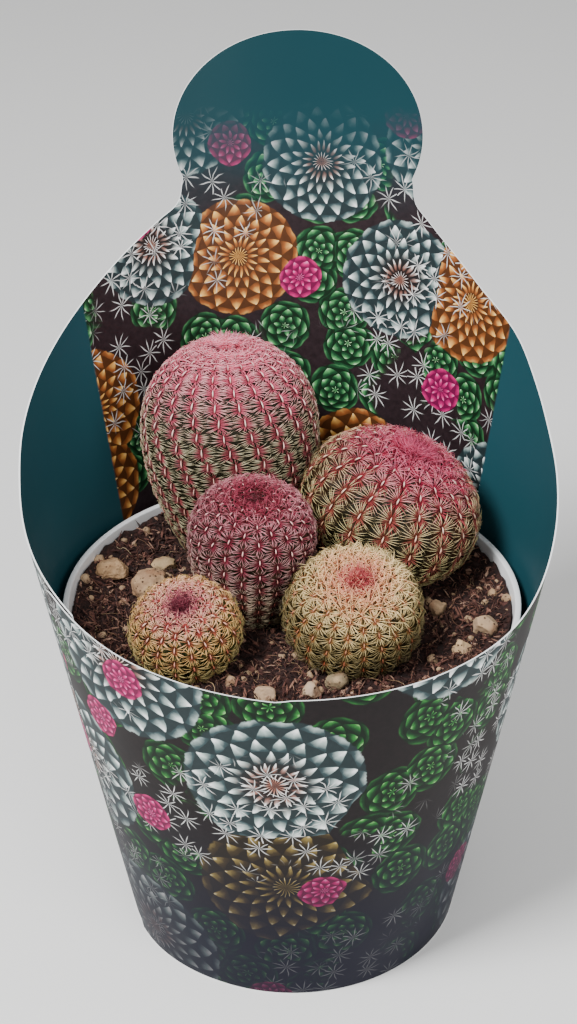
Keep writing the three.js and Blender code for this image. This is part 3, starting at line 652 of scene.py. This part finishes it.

# The comb of each stem, in millimetres and degrees. There are as many radials on each side of an
# areole, of this length and half thickness (width). tilt, square and flat shape their fan, and fan
# spreads their roots along the pad. lift and droop curve them, upright raises them above the
# crown's start, and unruly is their disorder. ends is the number of spines at each end of a pad.
# reach is how far red runs out from a root, and lower_red and ends_red add to it. pad is the
# felt's length, swell the height of an areole's swelling and dimple the depth of the crown's.
# Colours are stops by the share of the stem's height, from the neck to the crown.
# The rind colours are darkened as painted shade between the spines, and the groove colour is painted
# shade in the rib grooves.
looks = {
    "stem_back_left": dict(
        radials=11, length=5.5, square=0.5, flat=0.4, tilt=72, fan=0.21, lift=0.56,
        droop=0.54, width=0.135, pad=3.4, pad_width=0.25, swell=0.5, dimple=0.2, reach=0.46,
        upright=0.34, crown=0.8, lower_red=0.12, ends=3, ends_red=0.7, unruly=0.07,
        roots=[(0.04, "4c3022"), (0.2, "7c3434"), (0.6, "9c4650"), (0.76, "dc607a"),
               (1.0, "f4748e")],
        tips=[(0.04, "948862"), (0.22, "c2ba94"), (0.56, "cec4a0"), (0.72, "ffb6b8"),
              (1.0, "ffaabc")],
        pads=[(0.04, "7a5a3c"), (0.3, "f4b4a0"), (0.7, "ffe0d4"), (1.0, "f4a8b8")],
        skins_and_shade=[(0.02, "3b2e1e"), (0.2, "1c1c10"), (0.7, "1c120e"), (0.9, "702438"),
               (1.0, "983450")], grooves="060503"),
    "stem_right": dict(
        radials=13, length=6.3, square=0.8, flat=0.86, tilt=80, fan=0.2, lift=0.54,
        droop=0.5, width=0.13, pad=2.9, pad_width=0.27, swell=1.2, dimple=0.5, reach=0.27,
        upright=0.6, crown=0.7, lower_red=0.95, ends=2, ends_red=0.0, unruly=0.06,
        roots=[(0.08, "5c3424"), (0.35, "8a4836"), (0.6, "9c4840"), (0.8, "a82444"),
               (1.0, "a01238")],
        tips=[(0.08, "8c784c"), (0.4, "ccc086"), (0.62, "e8cc9c"), (0.72, "f0a0a0"),
              (0.84, "dc7088"), (1.0, "c85070")],
        pads=[(0.08, "b06840"), (0.35, "ffb888"), (0.7, "ffe4cc"), (1.0, "f8b0c0")],
        skins_and_shade=[(0.02, "3b2e1e"), (0.25, "302414"), (0.6, "3c1c12"), (0.85, "541420"),
               (1.0, "64142c")], grooves="080403"),
    "stem_centre": dict(
        radials=10, length=4.7, square=0.7, flat=0.58, tilt=76, fan=0.2, lift=0.8,
        droop=0.7, width=0.115, pad=2.1, pad_width=0.24, swell=0.7, dimple=3.4, reach=0.4,
        upright=0.2, crown=0.62, lower_red=0.15, ends=2, ends_red=0.0, unruly=0.1,
        roots=[(0.04, "5c4838"), (0.25, "6c3830"), (0.5, "702834"), (0.8, "942c44"),
               (0.93, "700c1c"), (1.0, "340208")],
        tips=[(0.04, "c4ba94"), (0.25, "d0ba9c"), (0.5, "b88e8a"), (0.78, "dc8e98"),
              (0.9, "a83450"), (1.0, "480610")],
        pads=[(0.04, "7c4838"), (0.3, "dc8474"), (0.6, "ffd0c4"), (0.88, "f8b0b4"),
              (1.0, "50080f")],
        skins_and_shade=[(0.02, "40342a"), (0.3, "301e18"), (0.6, "30120f"), (0.9, "3c060e"),
               (1.0, "200204")], grooves="0e0807"),
    "stem_front_right": dict(
        radials=9, length=4.9, square=0.8, flat=0.72, tilt=74, fan=0.16, lift=0.74,
        droop=0.6, width=0.145, pad=2.2, pad_width=0.23, swell=0.9, dimple=1.8, reach=0.2,
        upright=0.6, crown=0.6, lower_red=0.0, ends=2, ends_red=0.0, unruly=0.19,
        roots=[(0.04, "3c3018"), (0.3, "64482c"), (0.6, "a4703c"), (0.84, "fcb484"),
               (0.94, "cc6458"), (1.0, "701820")],
        tips=[(0.04, "3c3620"), (0.25, "5a5032"), (0.55, "948254"), (0.74, "ffe2a4"),
              (0.86, "ffc494"), (0.93, "f4a890"), (1.0, "b4484c")],
        pads=[(0.04, "6c4024"), (0.4, "b85c38"), (0.7, "e0a880"), (0.84, "ecb088"),
              (1.0, "a82c38")],
        skins_and_shade=[(0.02, "1c1a0c"), (0.3, "1c1e0c"), (0.75, "6c5630"), (0.92, "6c2420"),
               (1.0, "3c0810")], grooves="050603"),
    "stem_front_left": dict(
        radials=9, length=4.5, square=0.8, flat=0.76, tilt=76, fan=0.18, lift=0.76,
        droop=0.64, width=0.13, pad=2.3, pad_width=0.25, swell=0.9, dimple=2.4, reach=0.26,
        upright=0.5, crown=0.78, lower_red=0.1, ends=2, ends_red=0.0, unruly=0.17,
        roots=[(0.04, "6c5430"), (0.35, "7c5c34"), (0.66, "9c5438"), (0.8, "d05a58"),
               (0.88, "942244"), (1.0, "3c0818")],
        tips=[(0.04, "8c7c48"), (0.4, "b4a268"), (0.62, "e8b470"), (0.78, "ffc8a8"),
              (0.9, "cc6c7c"), (1.0, "682030")],
        pads=[(0.04, "84542a"), (0.4, "e07c60"), (0.7, "ffccb8"), (0.9, "d86878"),
              (1.0, "340818")],
        skins_and_shade=[(0.02, "483a1c"), (0.3, "484820"), (0.66, "4c4824"), (0.84, "602828"),
               (1.0, "200610")], grooves="141c08"),
}


def stem_profile(stem, look, steps, samples=4000, dimple_girth=0.2):
    """Heights and radii evenly spaced along the stem's side, with their run along it."""
    height = stem["height"] * MM * (1 - np.linspace(1, 0, samples) ** 2)
    radius = stem_radius(stem, height)
    dimple = np.exp(-(radius / (dimple_girth * stem["girth"] * MM)) ** 2)
    height = height - look["dimple"] * MM * dimple
    run = np.concatenate([[0], np.cumsum(np.hypot(np.diff(height), np.diff(radius)))])
    wanted = np.linspace(0, run[-1], steps)
    return np.interp(wanted, run, height), np.interp(wanted, run, radius), wanted


def make_stem_body(stem, look, finish, per_rib=6, per_areole=5):
    """The ribbed rind from under the soil to the crown, with its swellings and grooves."""
    around, rows = stem["ribs"] * per_rib, stem["areoles"] * per_areole
    height, radius, run = stem_profile(stem, look, rows + 1)
    height, radius, run = height[:-1], radius[:-1], run[:-1]
    height = np.concatenate([[-depth * root_depth for depth, width in buried_rings], height])
    radius = np.concatenate([[width * radius[0] for depth, width in buried_rings], radius])
    order = np.concatenate([[0 for ring in buried_rings],
                            run / run[-1] * (stem["areoles"] - top_gap)])
    column = np.arange(around)
    across = np.abs(2 * ((column % per_rib / per_rib + 0.5) % 1) - 1)
    rib = ((column + per_rib // 2) // per_rib) % stem["ribs"]
    place = order[:, None] + stem["stagger"] * (rib % 2)
    fade = np.clip(radius / (fade_share * stem["girth"] * MM), 0, 1)[:, None]
    above = (np.arange(len(height)) >= len(buried_rings))[:, None]
    swell = look["swell"] * MM * np.cos(2 * math.pi * place) * (1 - across) * above
    groove = stem["groove"] * MM * across ** 1.4
    out = radius[:, None] + fade * (swell - groove)
    angle = 2 * math.pi * column / around + stem["twist"] * height[:, None] / MM
    foot, axis, sideways, frontal = stem_frame(stem)
    points = (foot + height[:, None, None] * axis + out[..., None] *
              (np.cos(angle)[..., None] * sideways + np.sin(angle)[..., None] * frontal))
    ends = np.array([foot - 1.15 * root_depth * axis, foot + (height[-1] - 0.1 * MM) * axis])
    piece = make_piece(stem["node"].replace("stem", "ribs"),
                       np.concatenate([points.reshape(-1, 3), ends]),
                       [ring_faces(len(height), around), *end_fans(len(height), around)], finish)
    grown = np.broadcast_to((order / stem["areoles"])[:, None], place.shape)
    tag(piece, "across", np.append(np.broadcast_to(across, place.shape), [0, 0]))
    tag(piece, "grown", np.append(grown, [0, 1]))
    return piece


def stem_areoles(stem, look, steps=1200):
    """Each areole's place, its outward, upward and sideways directions, how far up it sits and
    its size."""

    def spokes(turn):
        return (math.cos(turn) * sideways + math.sin(turn) * frontal,
                -math.sin(turn) * sideways + math.cos(turn) * frontal)

    height, radius, run = stem_profile(stem, look, steps)
    rise, swell = np.gradient(height, run), np.gradient(radius, run)
    size = np.hypot(rise, swell)
    rise, swell = rise / size, swell / size
    foot, axis, sideways, frontal = stem_frame(stem)
    found = []
    for rib in range(stem["ribs"]):
        for step in range(stem["areoles"]):
            order = step - stem["stagger"] * (rib % 2) + (1 if stem["stagger"] else 0)
            share = order / (stem["areoles"] - top_gap)
            if not 0 < share < 1:
                continue
            i = int(share * (steps - 1))
            thin = radius[i] / (stem["girth"] * MM)
            if thin < third_rib_share and rib % 3 or thin < second_rib_share and rib % 2:
                continue
            spoke, beside = spokes(2 * math.pi * rib / stem["ribs"]
                                   + stem["twist"] * height[i] / MM)
            fade = min(1, thin / fade_share)
            place = foot + height[i] * axis + (radius[i] + fade * look["swell"] * MM) * spoke
            scale = min(1, 0.55 + 0.9 * thin) * draw.uniform(0.92, 1.06)
            roll = draw.normal(0, 0.07)
            up = rise[i] * axis + swell[i] * spoke
            up, beside = (math.cos(roll) * up + math.sin(roll) * beside,
                          math.cos(roll) * beside - math.sin(roll) * up)
            found.append((place, rise[i] * spoke - swell[i] * axis, up, beside, share, scale))
    crown = foot + (height[-1] + 0.2 * MM) * axis
    for step, turn in enumerate(np.linspace(0, 2 * math.pi * tuft_turns, tufts)):
        spoke, beside = spokes(turn)
        out = (tuft_start + tuft_step * step) * stem["girth"] / widest_girth
        found.append((crown + out * spoke, axis, -spoke, beside, 1.0, 0.75))
    return [np.array(column) for column in zip(*found)]


def tag_tubes(piece, share, steps, sides):
    """Tells each point how far along its tube it lies, how far up the stem, and its luck."""
    run = np.append(np.repeat(np.linspace(0, 1, steps)[:-1], sides), 1.0)
    facts = np.broadcast_arrays(run, share[:, None], draw.random((len(share), 1)))
    tag(piece, "spine", np.stack(facts, axis=2).reshape(-1, 3))


def make_spines(stem, look, finish):
    """Every spine of a stem in one piece: combs, end spines and the crown's tufts."""
    place, out, up, beside, share, scale = stem_areoles(stem, look)
    count = len(place)
    profile = np.array([1.0, 0.95, 0.7, 0.0]) * look["width"] * MM
    root_side, root_sink, end_slant = 0.2, 0.25 * MM, 0.3
    youth = np.clip((share - look["crown"]) / (1 - look["crown"]), 0, 1)
    made = []

    def grow(sideward, upward, root_up, side, length, red):
        """One spine of every areole, by its heading and where it roots on the pad."""
        vary = draw.normal(0, look["unruly"], (count, 3)) * (1 + 1.4 * youth[:, None])
        long = (length * MM * scale * draw.uniform(0.88, 1.08, count))[:, None, None]
        heading = ((sideward + vary[:, 0])[:, None, None] * beside[:, None]
                   + (upward + vary[:, 1])[:, None, None] * up[:, None])
        heading /= np.linalg.norm(heading, axis=2, keepdims=True)
        rise = (look["lift"] + look["upright"] * youth + 0.7 * vary[:, 2])[:, None, None]
        sink = (look["droop"] * (1 - 0.4 * youth))[:, None, None]
        root = place + (root_up * up + root_side * side * beside) * (scale * MM)[:, None]
        root = (root - root_sink * out)[:, None]
        t = np.linspace(0, 1, len(profile))[None, :, None]
        path = root + long * (t * heading + (rise * t - sink * t ** 2) * out[:, None])
        made.append((path, red))

    tilt, spread = math.radians(look["tilt"]), look["fan"] * look["length"]
    flatness = look["flat"] + (1 - look["flat"]) * youth
    for hand in (-1, 1):
        for number in range(look["radials"]):
            level = 2 * number / (look["radials"] - 1) - 1
            across = math.cos(level * tilt) ** look["square"]
            along = flatness * math.sin(level * tilt)
            grow(hand * across, along, spread * level, hand,
                 look["length"] * np.hypot(across, along),
                 look["lower_red"] * max(0.0, -level) ** 0.5)
    for slant in np.linspace(-end_slant, end_slant, look["ends"]):
        length = 0.95 * flatness * look["length"]
        grow(slant, 1, spread, slant, length, look["ends_red"])
        grow(slant, -1, -spread, slant, length, max(look["lower_red"], look["ends_red"]))

    paths = np.concatenate([path for path, red in made])
    points, quads, caps = tubes(paths, np.broadcast_to(profile, paths.shape[:2]))
    piece = make_piece(stem["node"].replace("stem", "spines"), points, [quads, caps], finish)
    tag_tubes(piece, np.tile(share, len(made)), len(profile), sides=3)
    tag(piece, "red", np.repeat([red for path, red in made], len(points) // len(made)))
    return piece


def make_pads(stem, look, finish):
    """The felt of every areole: a narrow arched spindle along the rib's crest."""
    place, out, up, _, share, scale = stem_areoles(stem, look)
    profile = np.array([0.35, 0.95, 1.0, 0.9, 0.6, 0.0]) * look["pad_width"] * MM
    t = np.linspace(-0.5, 0.5, len(profile))[None, :, None]
    length = (look["pad"] * MM * scale)[:, None, None]
    arch = (0.25 - t ** 2) * 0.5 * look["pad"] * MM + 0.12 * MM
    path = place[:, None] + length * t * up[:, None] + arch * out[:, None]
    points, quads, caps = tubes(path, profile * scale[:, None], sides=5)
    piece = make_piece(stem["node"].replace("stem", "areoles"), points, [quads, caps], finish)
    tag_tubes(piece, share, len(profile), sides=5)
    return piece


def skin_finish(stem, look):
    """The waxy rind, corky near the soil and flushed at the top. Its colours are darkened as
    painted shade between the spines, and darkest in the grooves as painted groove shade."""
    material, skin = start_finish(f"skin of {stem['node']}", Roughness=0.55,
                                  Specular_IOR_Level=0.15)
    mottle = skin.place().noise(500, 4)
    height = skin.attribute("grown") + 0.1 * (mottle - 0.5)
    # The grooves take the groove colour as painted shade, over rind colours darkened as painted
    # shade between the spines.
    rind = skin.attribute("across").step(0.15, 0.9).mix(height.ramp(*look["skins_and_shade"]),
                                                        look["grooves"])
    skin.feed("Base Color", (mottle * 0.08).mix(rind, "8a8a5c"))
    skin.feed("Roughness", 0.45 + 0.25 * mottle)
    skin.bump(mottle, 0.25 * MM)
    return material


def spine_finish(stem, look):
    """Horn-like spines, red towards the root and pale at the tip."""
    material, horn = start_finish(f"spines of {stem['node']}", Roughness=0.42)
    along, grown, luck = horn.attribute("spine", 1).parts()
    blotch = horn.place().noise(110, 3) - 0.5
    grown = grown + 0.05 * (luck - 0.5) + 0.14 * blotch
    reach = look["reach"]
    chance = (0.25 + 0.75 * grown.step(look["crown"], 1)) * (luck - 0.5)
    shift = along - 0.5 * horn.attribute("red") + chance - 0.5 * blotch
    horn.feed("Base Color", shift.step(0.5 * reach, 1.5 * reach).mix(
        grown.ramp(*look["roots"]), grown.ramp(*look["tips"])))
    horn.feed("Roughness", 0.34 + 0.2 * luck)
    return material


def felt_finish(stem, look):
    """Short felt, pale at the pad's upper end and rusty at its lower end."""
    material, felt = start_finish(f"areoles of {stem['node']}", Roughness=0.8)
    along, grown, luck = felt.attribute("spine", 1).parts()
    pale = (grown + 0.12 * (luck - 0.5)).ramp(*look["pads"])
    felt.feed("Base Color", along.step(0.0, 0.6).mix("8c1f26", pale))
    felt.feed("Roughness", 0.7 + 0.2 * luck)
    return material


for stem in stems:
    look = looks[stem["node"]]
    for piece in (make_stem_body(stem, look, skin_finish(stem, look)),
                  make_spines(stem, look, spine_finish(stem, look)),
                  make_pads(stem, look, felt_finish(stem, look))):
        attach(piece, "root")
        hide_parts(stem["node"])

# The sleeve: one sheet of thin card, printed and varnished on both sides, rolled into a cone round
# the pot and glued where its ends lap at the left front. Its cut edge shows the white of the card.
# The print is a made-up design of rosettes, star bursts and blossoms. The header's top is plain.
card = 0.45 * MM

# The cone in millimetres, with its flare for each millimetre of height. Turns are in degrees from
# the front, growing to the right. The lap's outer end stands off by lap_rise, and settles onto the
# cone over lap_ramp.
sleeve_base, sleeve_flare, sleeve_foot = 57.5, 0.1746, 0.4
lap_start, lap_end, lap_ramp, lap_rise = -64, -52, 26, 0.7
corner_radius, corner_drop, side_drop = 7, 0.8, 5

# The header's rounded top, and the knots of the sheet's upper edge on either side of it, each as
# degrees from the header's middle and millimetres of height.
header_turn, head_half, head_level, head_rise = 178.3, 24.9, 244, 34.4
left_edge = [(23.5, 232), (25.2, 223.8), (29, 219.9), (35, 214.2), (47.2, 203), (59.1, 193),
             (70.7, 183.8), (81.7, 175), (94.1, 164), (108, 157), (121.7, 152), (142, 145),
             (178.3, 139.5)]
right_edge = [(23.5, 232), (24.7, 223.9), (27.5, 219.5), (31.7, 213.8), (42.2, 201.8),
              (54.6, 191.5), (63.9, 180.6), (73.4, 170.4), (84.3, 161.8), (94, 154.6),
              (106, 146.5), (118.3, 141.5), (142, 139.6), (178.3, 139.5)]


def curve_through(knots, steps):
    """A centripetal curve through the knots, as a dense row of points."""
    knots = np.array(knots, dtype=float)
    knots = np.concatenate([[2 * knots[0] - knots[1]], knots, [2 * knots[-1] - knots[-2]]])
    found = []
    for a, b, c, d in zip(knots, knots[1:], knots[2:], knots[3:]):
        gaps = [math.sqrt(np.linalg.norm(q - p)) for p, q in ((a, b), (b, c), (c, d))]
        leave = (b - a) / gaps[0] - (c - a) / (gaps[0] + gaps[1]) + (c - b) / gaps[1]
        arrive = (c - b) / gaps[1] - (d - b) / (gaps[1] + gaps[2]) + (d - c) / gaps[2]
        t = np.linspace(0, 1, steps, endpoint=False)[:, None]
        found.append((2 * t ** 3 - 3 * t ** 2 + 1) * b + (t ** 3 - 2 * t ** 2 + t) * gaps[1] * leave
                     + (3 * t ** 2 - 2 * t ** 3) * c + (t ** 3 - t ** 2) * gaps[1] * arrive)
    return np.concatenate([*found, knots[-2:-1]])


def evenly(line, gap):
    """The line again, with its points set a given distance apart."""
    run = np.concatenate([[0], np.cumsum(np.linalg.norm(np.diff(line, axis=0), axis=1))])
    wanted = np.linspace(0, run[-1], max(2, int(run[-1] / gap)))
    return np.stack([np.interp(wanted, run, line[:, i]) for i in (0, 1)], axis=1)


# The sheet's triangles are laid out on a flat map, in millimetres along its width, as on a round
# of the cone's middle radius, and up its height.
middle_radius = 75
per_degree = math.radians(middle_radius)
to_width = np.array([per_degree, 1])
edge_steps, head_steps, edge_spacing = 12, 120, 1.4
left_line = [header_turn, 0] + curve_through(left_edge, edge_steps)
right_line = [header_turn, 0] + [-1, 1] * curve_through(right_edge, edge_steps)
neck_level = left_edge[0][1]
sweep_start = math.asin((neck_level - head_level) / head_rise)
sweep = np.linspace(sweep_start, math.pi - sweep_start, head_steps)
head_line = np.stack([header_turn + head_half * np.cos(sweep),
                      head_level + head_rise * np.sin(sweep)], axis=1)
inner_part = left_line[left_line[:, 0] < lap_end + 360][::-1]
outer_part = left_line[left_line[:, 0] > lap_start + 360][::-1] - [360, 0]

# The lap's outer end has a rounded top corner, and its side runs straight down from side_drop
# below that.
short = np.clip((outer_part[:, 0] - lap_start) * per_degree, 0, corner_radius)
outer_part[:, 1] -= corner_drop + corner_radius - np.sqrt(
    corner_radius ** 2 - (corner_radius - short) ** 2)
start = np.array([[lap_start, outer_part[-1, 1] - side_drop]])
base = [[lap_start, sleeve_foot], [lap_end + 360, sleeve_foot]]
outline = np.concatenate([base, inner_part, head_line, right_line, outer_part, start, base[:1]])
outline = evenly(outline * to_width, edge_spacing)[:-1]

# Points inside the outline stand in a pattern of nearly equal triangles.
gap, edge_clearance = 3.4, 1.5
row_gap, grid_top, grid_left, grid_right = 0.866 * gap, 290, -90, 410
row, column = np.meshgrid(np.arange(0, grid_top, row_gap), np.arange(grid_left, grid_right, gap),
                          indexing="ij")
column = column + gap / 2 * (np.arange(len(row)) % 2)[:, None]
grid = np.stack([column.ravel(), row.ravel()], axis=1)
ahead = np.roll(outline, -1, axis=0)
crosses = (outline[None, :, 1] > grid[:, None, 1]) != (ahead[None, :, 1] > grid[:, None, 1])
run_up = np.where(ahead[:, 1] == outline[:, 1], 1e-9, ahead[:, 1] - outline[:, 1])
meets = outline[:, 0] + (grid[:, 1:] - outline[:, 1]) * (ahead[:, 0] - outline[:, 0]) / run_up
inside = (crosses & (meets > grid[:, :1])).sum(axis=1) % 2 == 1
nearest = np.min(np.linalg.norm(grid[:, None] - outline, axis=2), axis=1)
flat = np.concatenate([outline, grid[inside & (nearest > edge_clearance)]])
rim = [(i, (i + 1) % len(outline)) for i in range(len(outline))]
inside_only, tolerance = 1, 1e-5
laid = delaunay_2d_cdt([Vector(p) for p in flat], rim, [], inside_only, tolerance)
laid_points = np.array([tuple(p) for p in laid[0]])
facets = np.array([tuple(f) for f in laid[2]])
place_of = {source: new for new, sources in enumerate(laid[3]) for source in sources}
rim = np.array([[place_of[a], place_of[b]] for a, b in rim])

turn, height = laid_points[:, 0] / per_degree, laid_points[:, 1]
lap = np.clip(1 - (turn - lap_end) / lap_ramp, 0, 1) * lap_rise


def roll_up(inset):
    """The sheet's points on the cone, or that far inside it."""
    radius = (sleeve_base + sleeve_flare * height + lap) * MM - inset
    angle = np.radians(turn)
    return np.stack([radius * np.sin(angle), -radius * np.cos(angle), height * MM], axis=1)


count = len(laid_points)
edge_quads = np.stack([rim[:, 1], rim[:, 0], rim[:, 0] + count, rim[:, 1] + count], axis=1)


def cells(flat, size, shift):
    """Scattered motif centres: the angle and distance from the nearest, and its own luck."""
    moved = flat.vector_maths("ADD", (shift, 0.7 * shift, 0))
    cell = flat.node("ShaderNodeTexVoronoi", {"voronoi_dimensions": "2D"},
                     {"Vector": moved, "Scale": 1 / size, "Randomness": 0.75})
    offset = moved.vector_maths("SUBTRACT", cell.other("Position"))
    across, up, _ = offset.parts()
    angle = up.maths("ARCTAN2", across)
    reach = offset.vector_maths("LENGTH", output="Value") / size
    luck = flat.node("ShaderNodeSeparateColor", {}, {"Color": cell.other("Color")})
    return angle, reach, luck, luck.other(1)


def rosette(angle, reach, leaves, rings, point=2.2):
    """Light and shade of leaves set in rings, each ring standing between the leaves of the last."""
    ring = reach * rings
    part = ring.maths("FRACT")
    beat = (angle * (leaves / (2 * math.pi)) + 0.5 * ring.maths("FLOOR")).maths("FRACT")
    middle = 1 - ((beat - 0.5) * 2).maths("ABSOLUTE")
    leaf = (middle - part ** point * 0.9).step(0.0, 0.12)
    return leaf * (0.2 + 0.8 * part) * (0.4 + 0.6 * middle) + (1 - leaf) * 0.08


def burst(angle, reach, rays, size):
    """Thin tapering rays from a centre."""
    beat = ((angle * (rays / (2 * math.pi))).maths("FRACT") - 0.5).maths("ABSOLUTE") * 2
    return (1 - beat - (0.5 + 0.5 * reach / size)).step(0.0, 0.14)


def print_design(face, shift, sizes, ground, leafy, ripe, silvered, bare):
    """The design as a colour on dark ground. shift moves its motifs about, and sizes are those of
    the large and small rosettes. Of the large ones, the share silvered is silver and the rest
    gold, and the share bare is left out."""
    large, small = sizes
    flat = face.attribute("sheet", 1)
    wander = flat.node("ShaderNodeVectorMath", {"operation": "SCALE"},
                       {"Vector": flat.noise(0.12, 2, 0.5, 1), "Scale": 3.0})
    flat = flat.vector_maths("ADD", wander)
    patch = flat.noise(0.016, 2)
    fine = flat.noise(0.5, 4)
    colour = fine.mix(ground[0], ground[1])

    # Small green rosettes, in patches.
    angle, reach, luck, _ = cells(flat, small, shift + 11)
    light = rosette(angle, reach, leaves=6, rings=9) * (0.6 + 0.7 * fine)
    green = light.ramp((0.0, "080d08"), (0.35, leafy[0]), (0.7, leafy[1]), (1.0, leafy[2]))
    colour = ((0.52 - reach).step(0, 0.03) * (patch - 0.1 * luck).step(0.40, 0.43)).mix(
        colour, green)

    # Large rosettes, silver with a flushed heart or gold.
    angle, reach, luck, other_luck = cells(flat, large, shift)
    light = rosette(angle, reach, leaves=17, rings=12, point=1.1) * (0.65 + 0.65 * fine)
    silver = light.ramp((0.0, "0c1012"), (0.22, "35474a"), (0.5, "a4b4b0"), (0.85, "ffffff"))
    flush = (reach - 0.1 * fine).step(0.2, 0.02).mix(silver, "b0685c", "OVERLAY")
    gold = light.ramp((0.0, "120d08"), (0.35, ripe[0]), (0.75, ripe[1]), (1.0, "f0e0b0"))
    body = (luck > silvered).mix(flush, gold)
    colour = ((0.48 - reach - 0.03 * fine).step(0, 0.012) * (other_luck > bare)).mix(colour, body)

    # Pale star bursts, between the patches of green.
    angle, reach, luck, _ = cells(flat, 10, shift + 31)
    rays = burst(angle, reach, rays=9, size=0.6) * (0.6 - reach).step(0, 0.2)
    rays = rays * (patch + 0.06 * luck).step(0.56, 0.5)
    colour = (rays * 0.9).mix(colour, "dcdcda")

    # A few small pink blossoms, over everything.
    angle, reach, luck, _ = cells(flat, 30, shift + 57)
    petal = rosette(angle, reach, leaves=9, rings=14, point=1.4)
    bloom = petal.ramp((0.0, "4a0a2c"), (0.5, "c4206f"), (1.0, "f48cc0"))
    return ((0.26 - reach).step(0, 0.012) * (luck > 0.74)).mix(colour, bloom)


def varnish(face, coat):
    """A thin varnish, a little uneven, over print."""
    face.feed("Roughness", 0.45 + 0.1 * face.place().noise(60, 2))
    face.feed("Coat Weight", coat * face.place().noise(40, 1))
    face.bump(face.place().noise(700, 2), 0.01 * MM, 0.4)


# The outside is printed all round, and fades to a dark foot.
outside, face = start_finish("card outside", Roughness=0.5, Coat_Roughness=0.2,
                             Specular_IOR_Level=0.12)
design = print_design(face, shift=0, sizes=(62, 21), ground=("0a0708", "1e1617"),
                      leafy=("0f3318", "2f7a34", "8fc07a"), ripe=("3c3018", "8c7840"),
                      silvered=0.72, bare=0.22)
foot_fade_top, foot_fade_low = 96, 16
dark_foot = face.attribute("level").step(foot_fade_top, foot_fade_low) * 0.9
face.feed("Base Color", dark_foot.mix(design, "080a1e"))
varnish(face, 0.05)

# The inside is plain, with a printed panel behind the stems that fades into the header.
inside_face, face = start_finish("card inside", Roughness=0.5, Coat_Roughness=0.2,
                                 Specular_IOR_Level=0.15)
turned, level = face.attribute("turned"), face.attribute("level")
design = print_design(face, shift=140, sizes=(45, 18), ground=("100a0c", "33262a"),
                      leafy=("1c4a2c", "5aa062", "d4ecc4"), ripe=("98582c", "f0b860"),
                      silvered=0.5, bare=0.0)
plain_low, plain_top = 150, 275
plain = level.step(plain_low, plain_top).mix("1e4750", "08333a")
panel_right, panel_left, panel_fade_top, panel_fade_low = 126.3, 229.2, 262, 222
panel = (turned - panel_right).step(-0.3, 0.3) * (panel_left - turned).step(-0.3, 0.3)
cloudy_level = level + 14 * face.attribute("sheet", 1).noise(0.06, 3)
panel = panel * cloudy_level.step(panel_fade_top, panel_fade_low)
face.feed("Base Color", panel.mix(plain, design))
varnish(face, 0.06)

cut_edge, paper = start_finish("cut card", Roughness=0.8)
paper.feed("Base Color", paper.place().noise(900, 2).mix("eef2f2", "fbfcfb"))

sleeve = make_piece("card_sleeve", np.concatenate([roll_up(0), roll_up(card)]),
                    [facets, facets[:, ::-1] + count, edge_quads], outside, inside_face, cut_edge)
sleeve.data.polygons.foreach_set("material_index", np.repeat([0, 1, 2], [
    len(facets), len(facets), len(edge_quads)]))
sleeve.data.set_sharp_from_angle(angle=math.radians(40))

# The print lies on the sheet as the cone unrolls: a fan round the cone's tip, in millimetres.
cone_sine = math.sin(math.atan(sleeve_flare))
middle_turn = (lap_start + lap_end + 360) / 2
foot_from_tip = 334
slant = (sleeve_base + sleeve_flare * height) / cone_sine
spread = np.radians(turn - middle_turn) * cone_sine
unrolled = np.stack([slant * np.sin(spread), slant * np.cos(spread) - foot_from_tip, 0 * slant],
                    axis=1)
tag(sleeve, "sheet", np.tile(unrolled, (2, 1)))
tag(sleeve, "turned", np.tile(turn, 2))
tag(sleeve, "level", np.tile(height, 2))
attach(sleeve, "root")
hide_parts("sleeve")

# The floor, lights and camera: a plain pale floor under soft studio light, seen from in front and
# above as the plant was photographed.
floor_finish, pale_floor = start_finish("pale floor", Roughness=0.9)
pale_floor.feed("Base Color", pale_floor.place().noise(3, 2).mix("f2f2f1", "f5f5f4"))
reach = 6.0
floor = make_piece("floor", [(-reach, -reach, 0), (reach, -reach, 0), (reach, reach, 0),
                             (-reach, reach, 0)], np.array([[0, 1, 2, 3]]), floor_finish)

world = bpy.data.worlds.new("studio")
bpy.context.scene.world = world
world.use_nodes = True
room = world.node_tree.nodes["Background"].inputs
room["Color"].default_value = (1, 1, 1, 1)
room["Strength"].default_value = 0.52


def soft_light(name, place, aim, size, power):
    """A square lamp, by its side in metres and its power in watts."""
    light = bpy.data.lights.new(name, "AREA")
    light.size, light.energy = size, power
    lamp = bpy.data.objects.new(name, light)
    bpy.context.collection.objects.link(lamp)
    lamp.location = place
    lamp.rotation_euler = (Vector(aim) - Vector(place)).to_track_quat("-Z", "Y").to_euler()


middle = (0, 0, 0.13)
soft_light("key", (-0.6, -0.52, 1.2), middle, size=0.4, power=26.5)
soft_light("fill", (0.7, -1.0, 0.65), middle, size=0.9, power=11)

# The camera stands where the pot's rim, the sleeve's foot and its edges fall as in the photograph.
lens_mm, sensor_mm = 67.71, 36
camera_place = Vector((0, -0.52892, 0.47091))
camera_aim = Vector((-0.00156, 0.85777, -0.51403))
camera_roll = math.radians(-0.36)
eye = bpy.data.cameras.new("camera")
eye.lens, eye.sensor_width = lens_mm, sensor_mm
camera = bpy.data.objects.new("camera", eye)
bpy.context.collection.objects.link(camera)
camera.location = camera_place
right = camera_aim.cross(Vector((0, 0, 1))).normalized()
upward = right.cross(camera_aim)
tilted_right = right * math.cos(camera_roll) + upward * math.sin(camera_roll)
tilted_up = upward * math.cos(camera_roll) - right * math.sin(camera_roll)
camera.rotation_euler = Matrix((tilted_right, tilted_up, -camera_aim)).transposed().to_euler()
bpy.context.scene.camera = camera
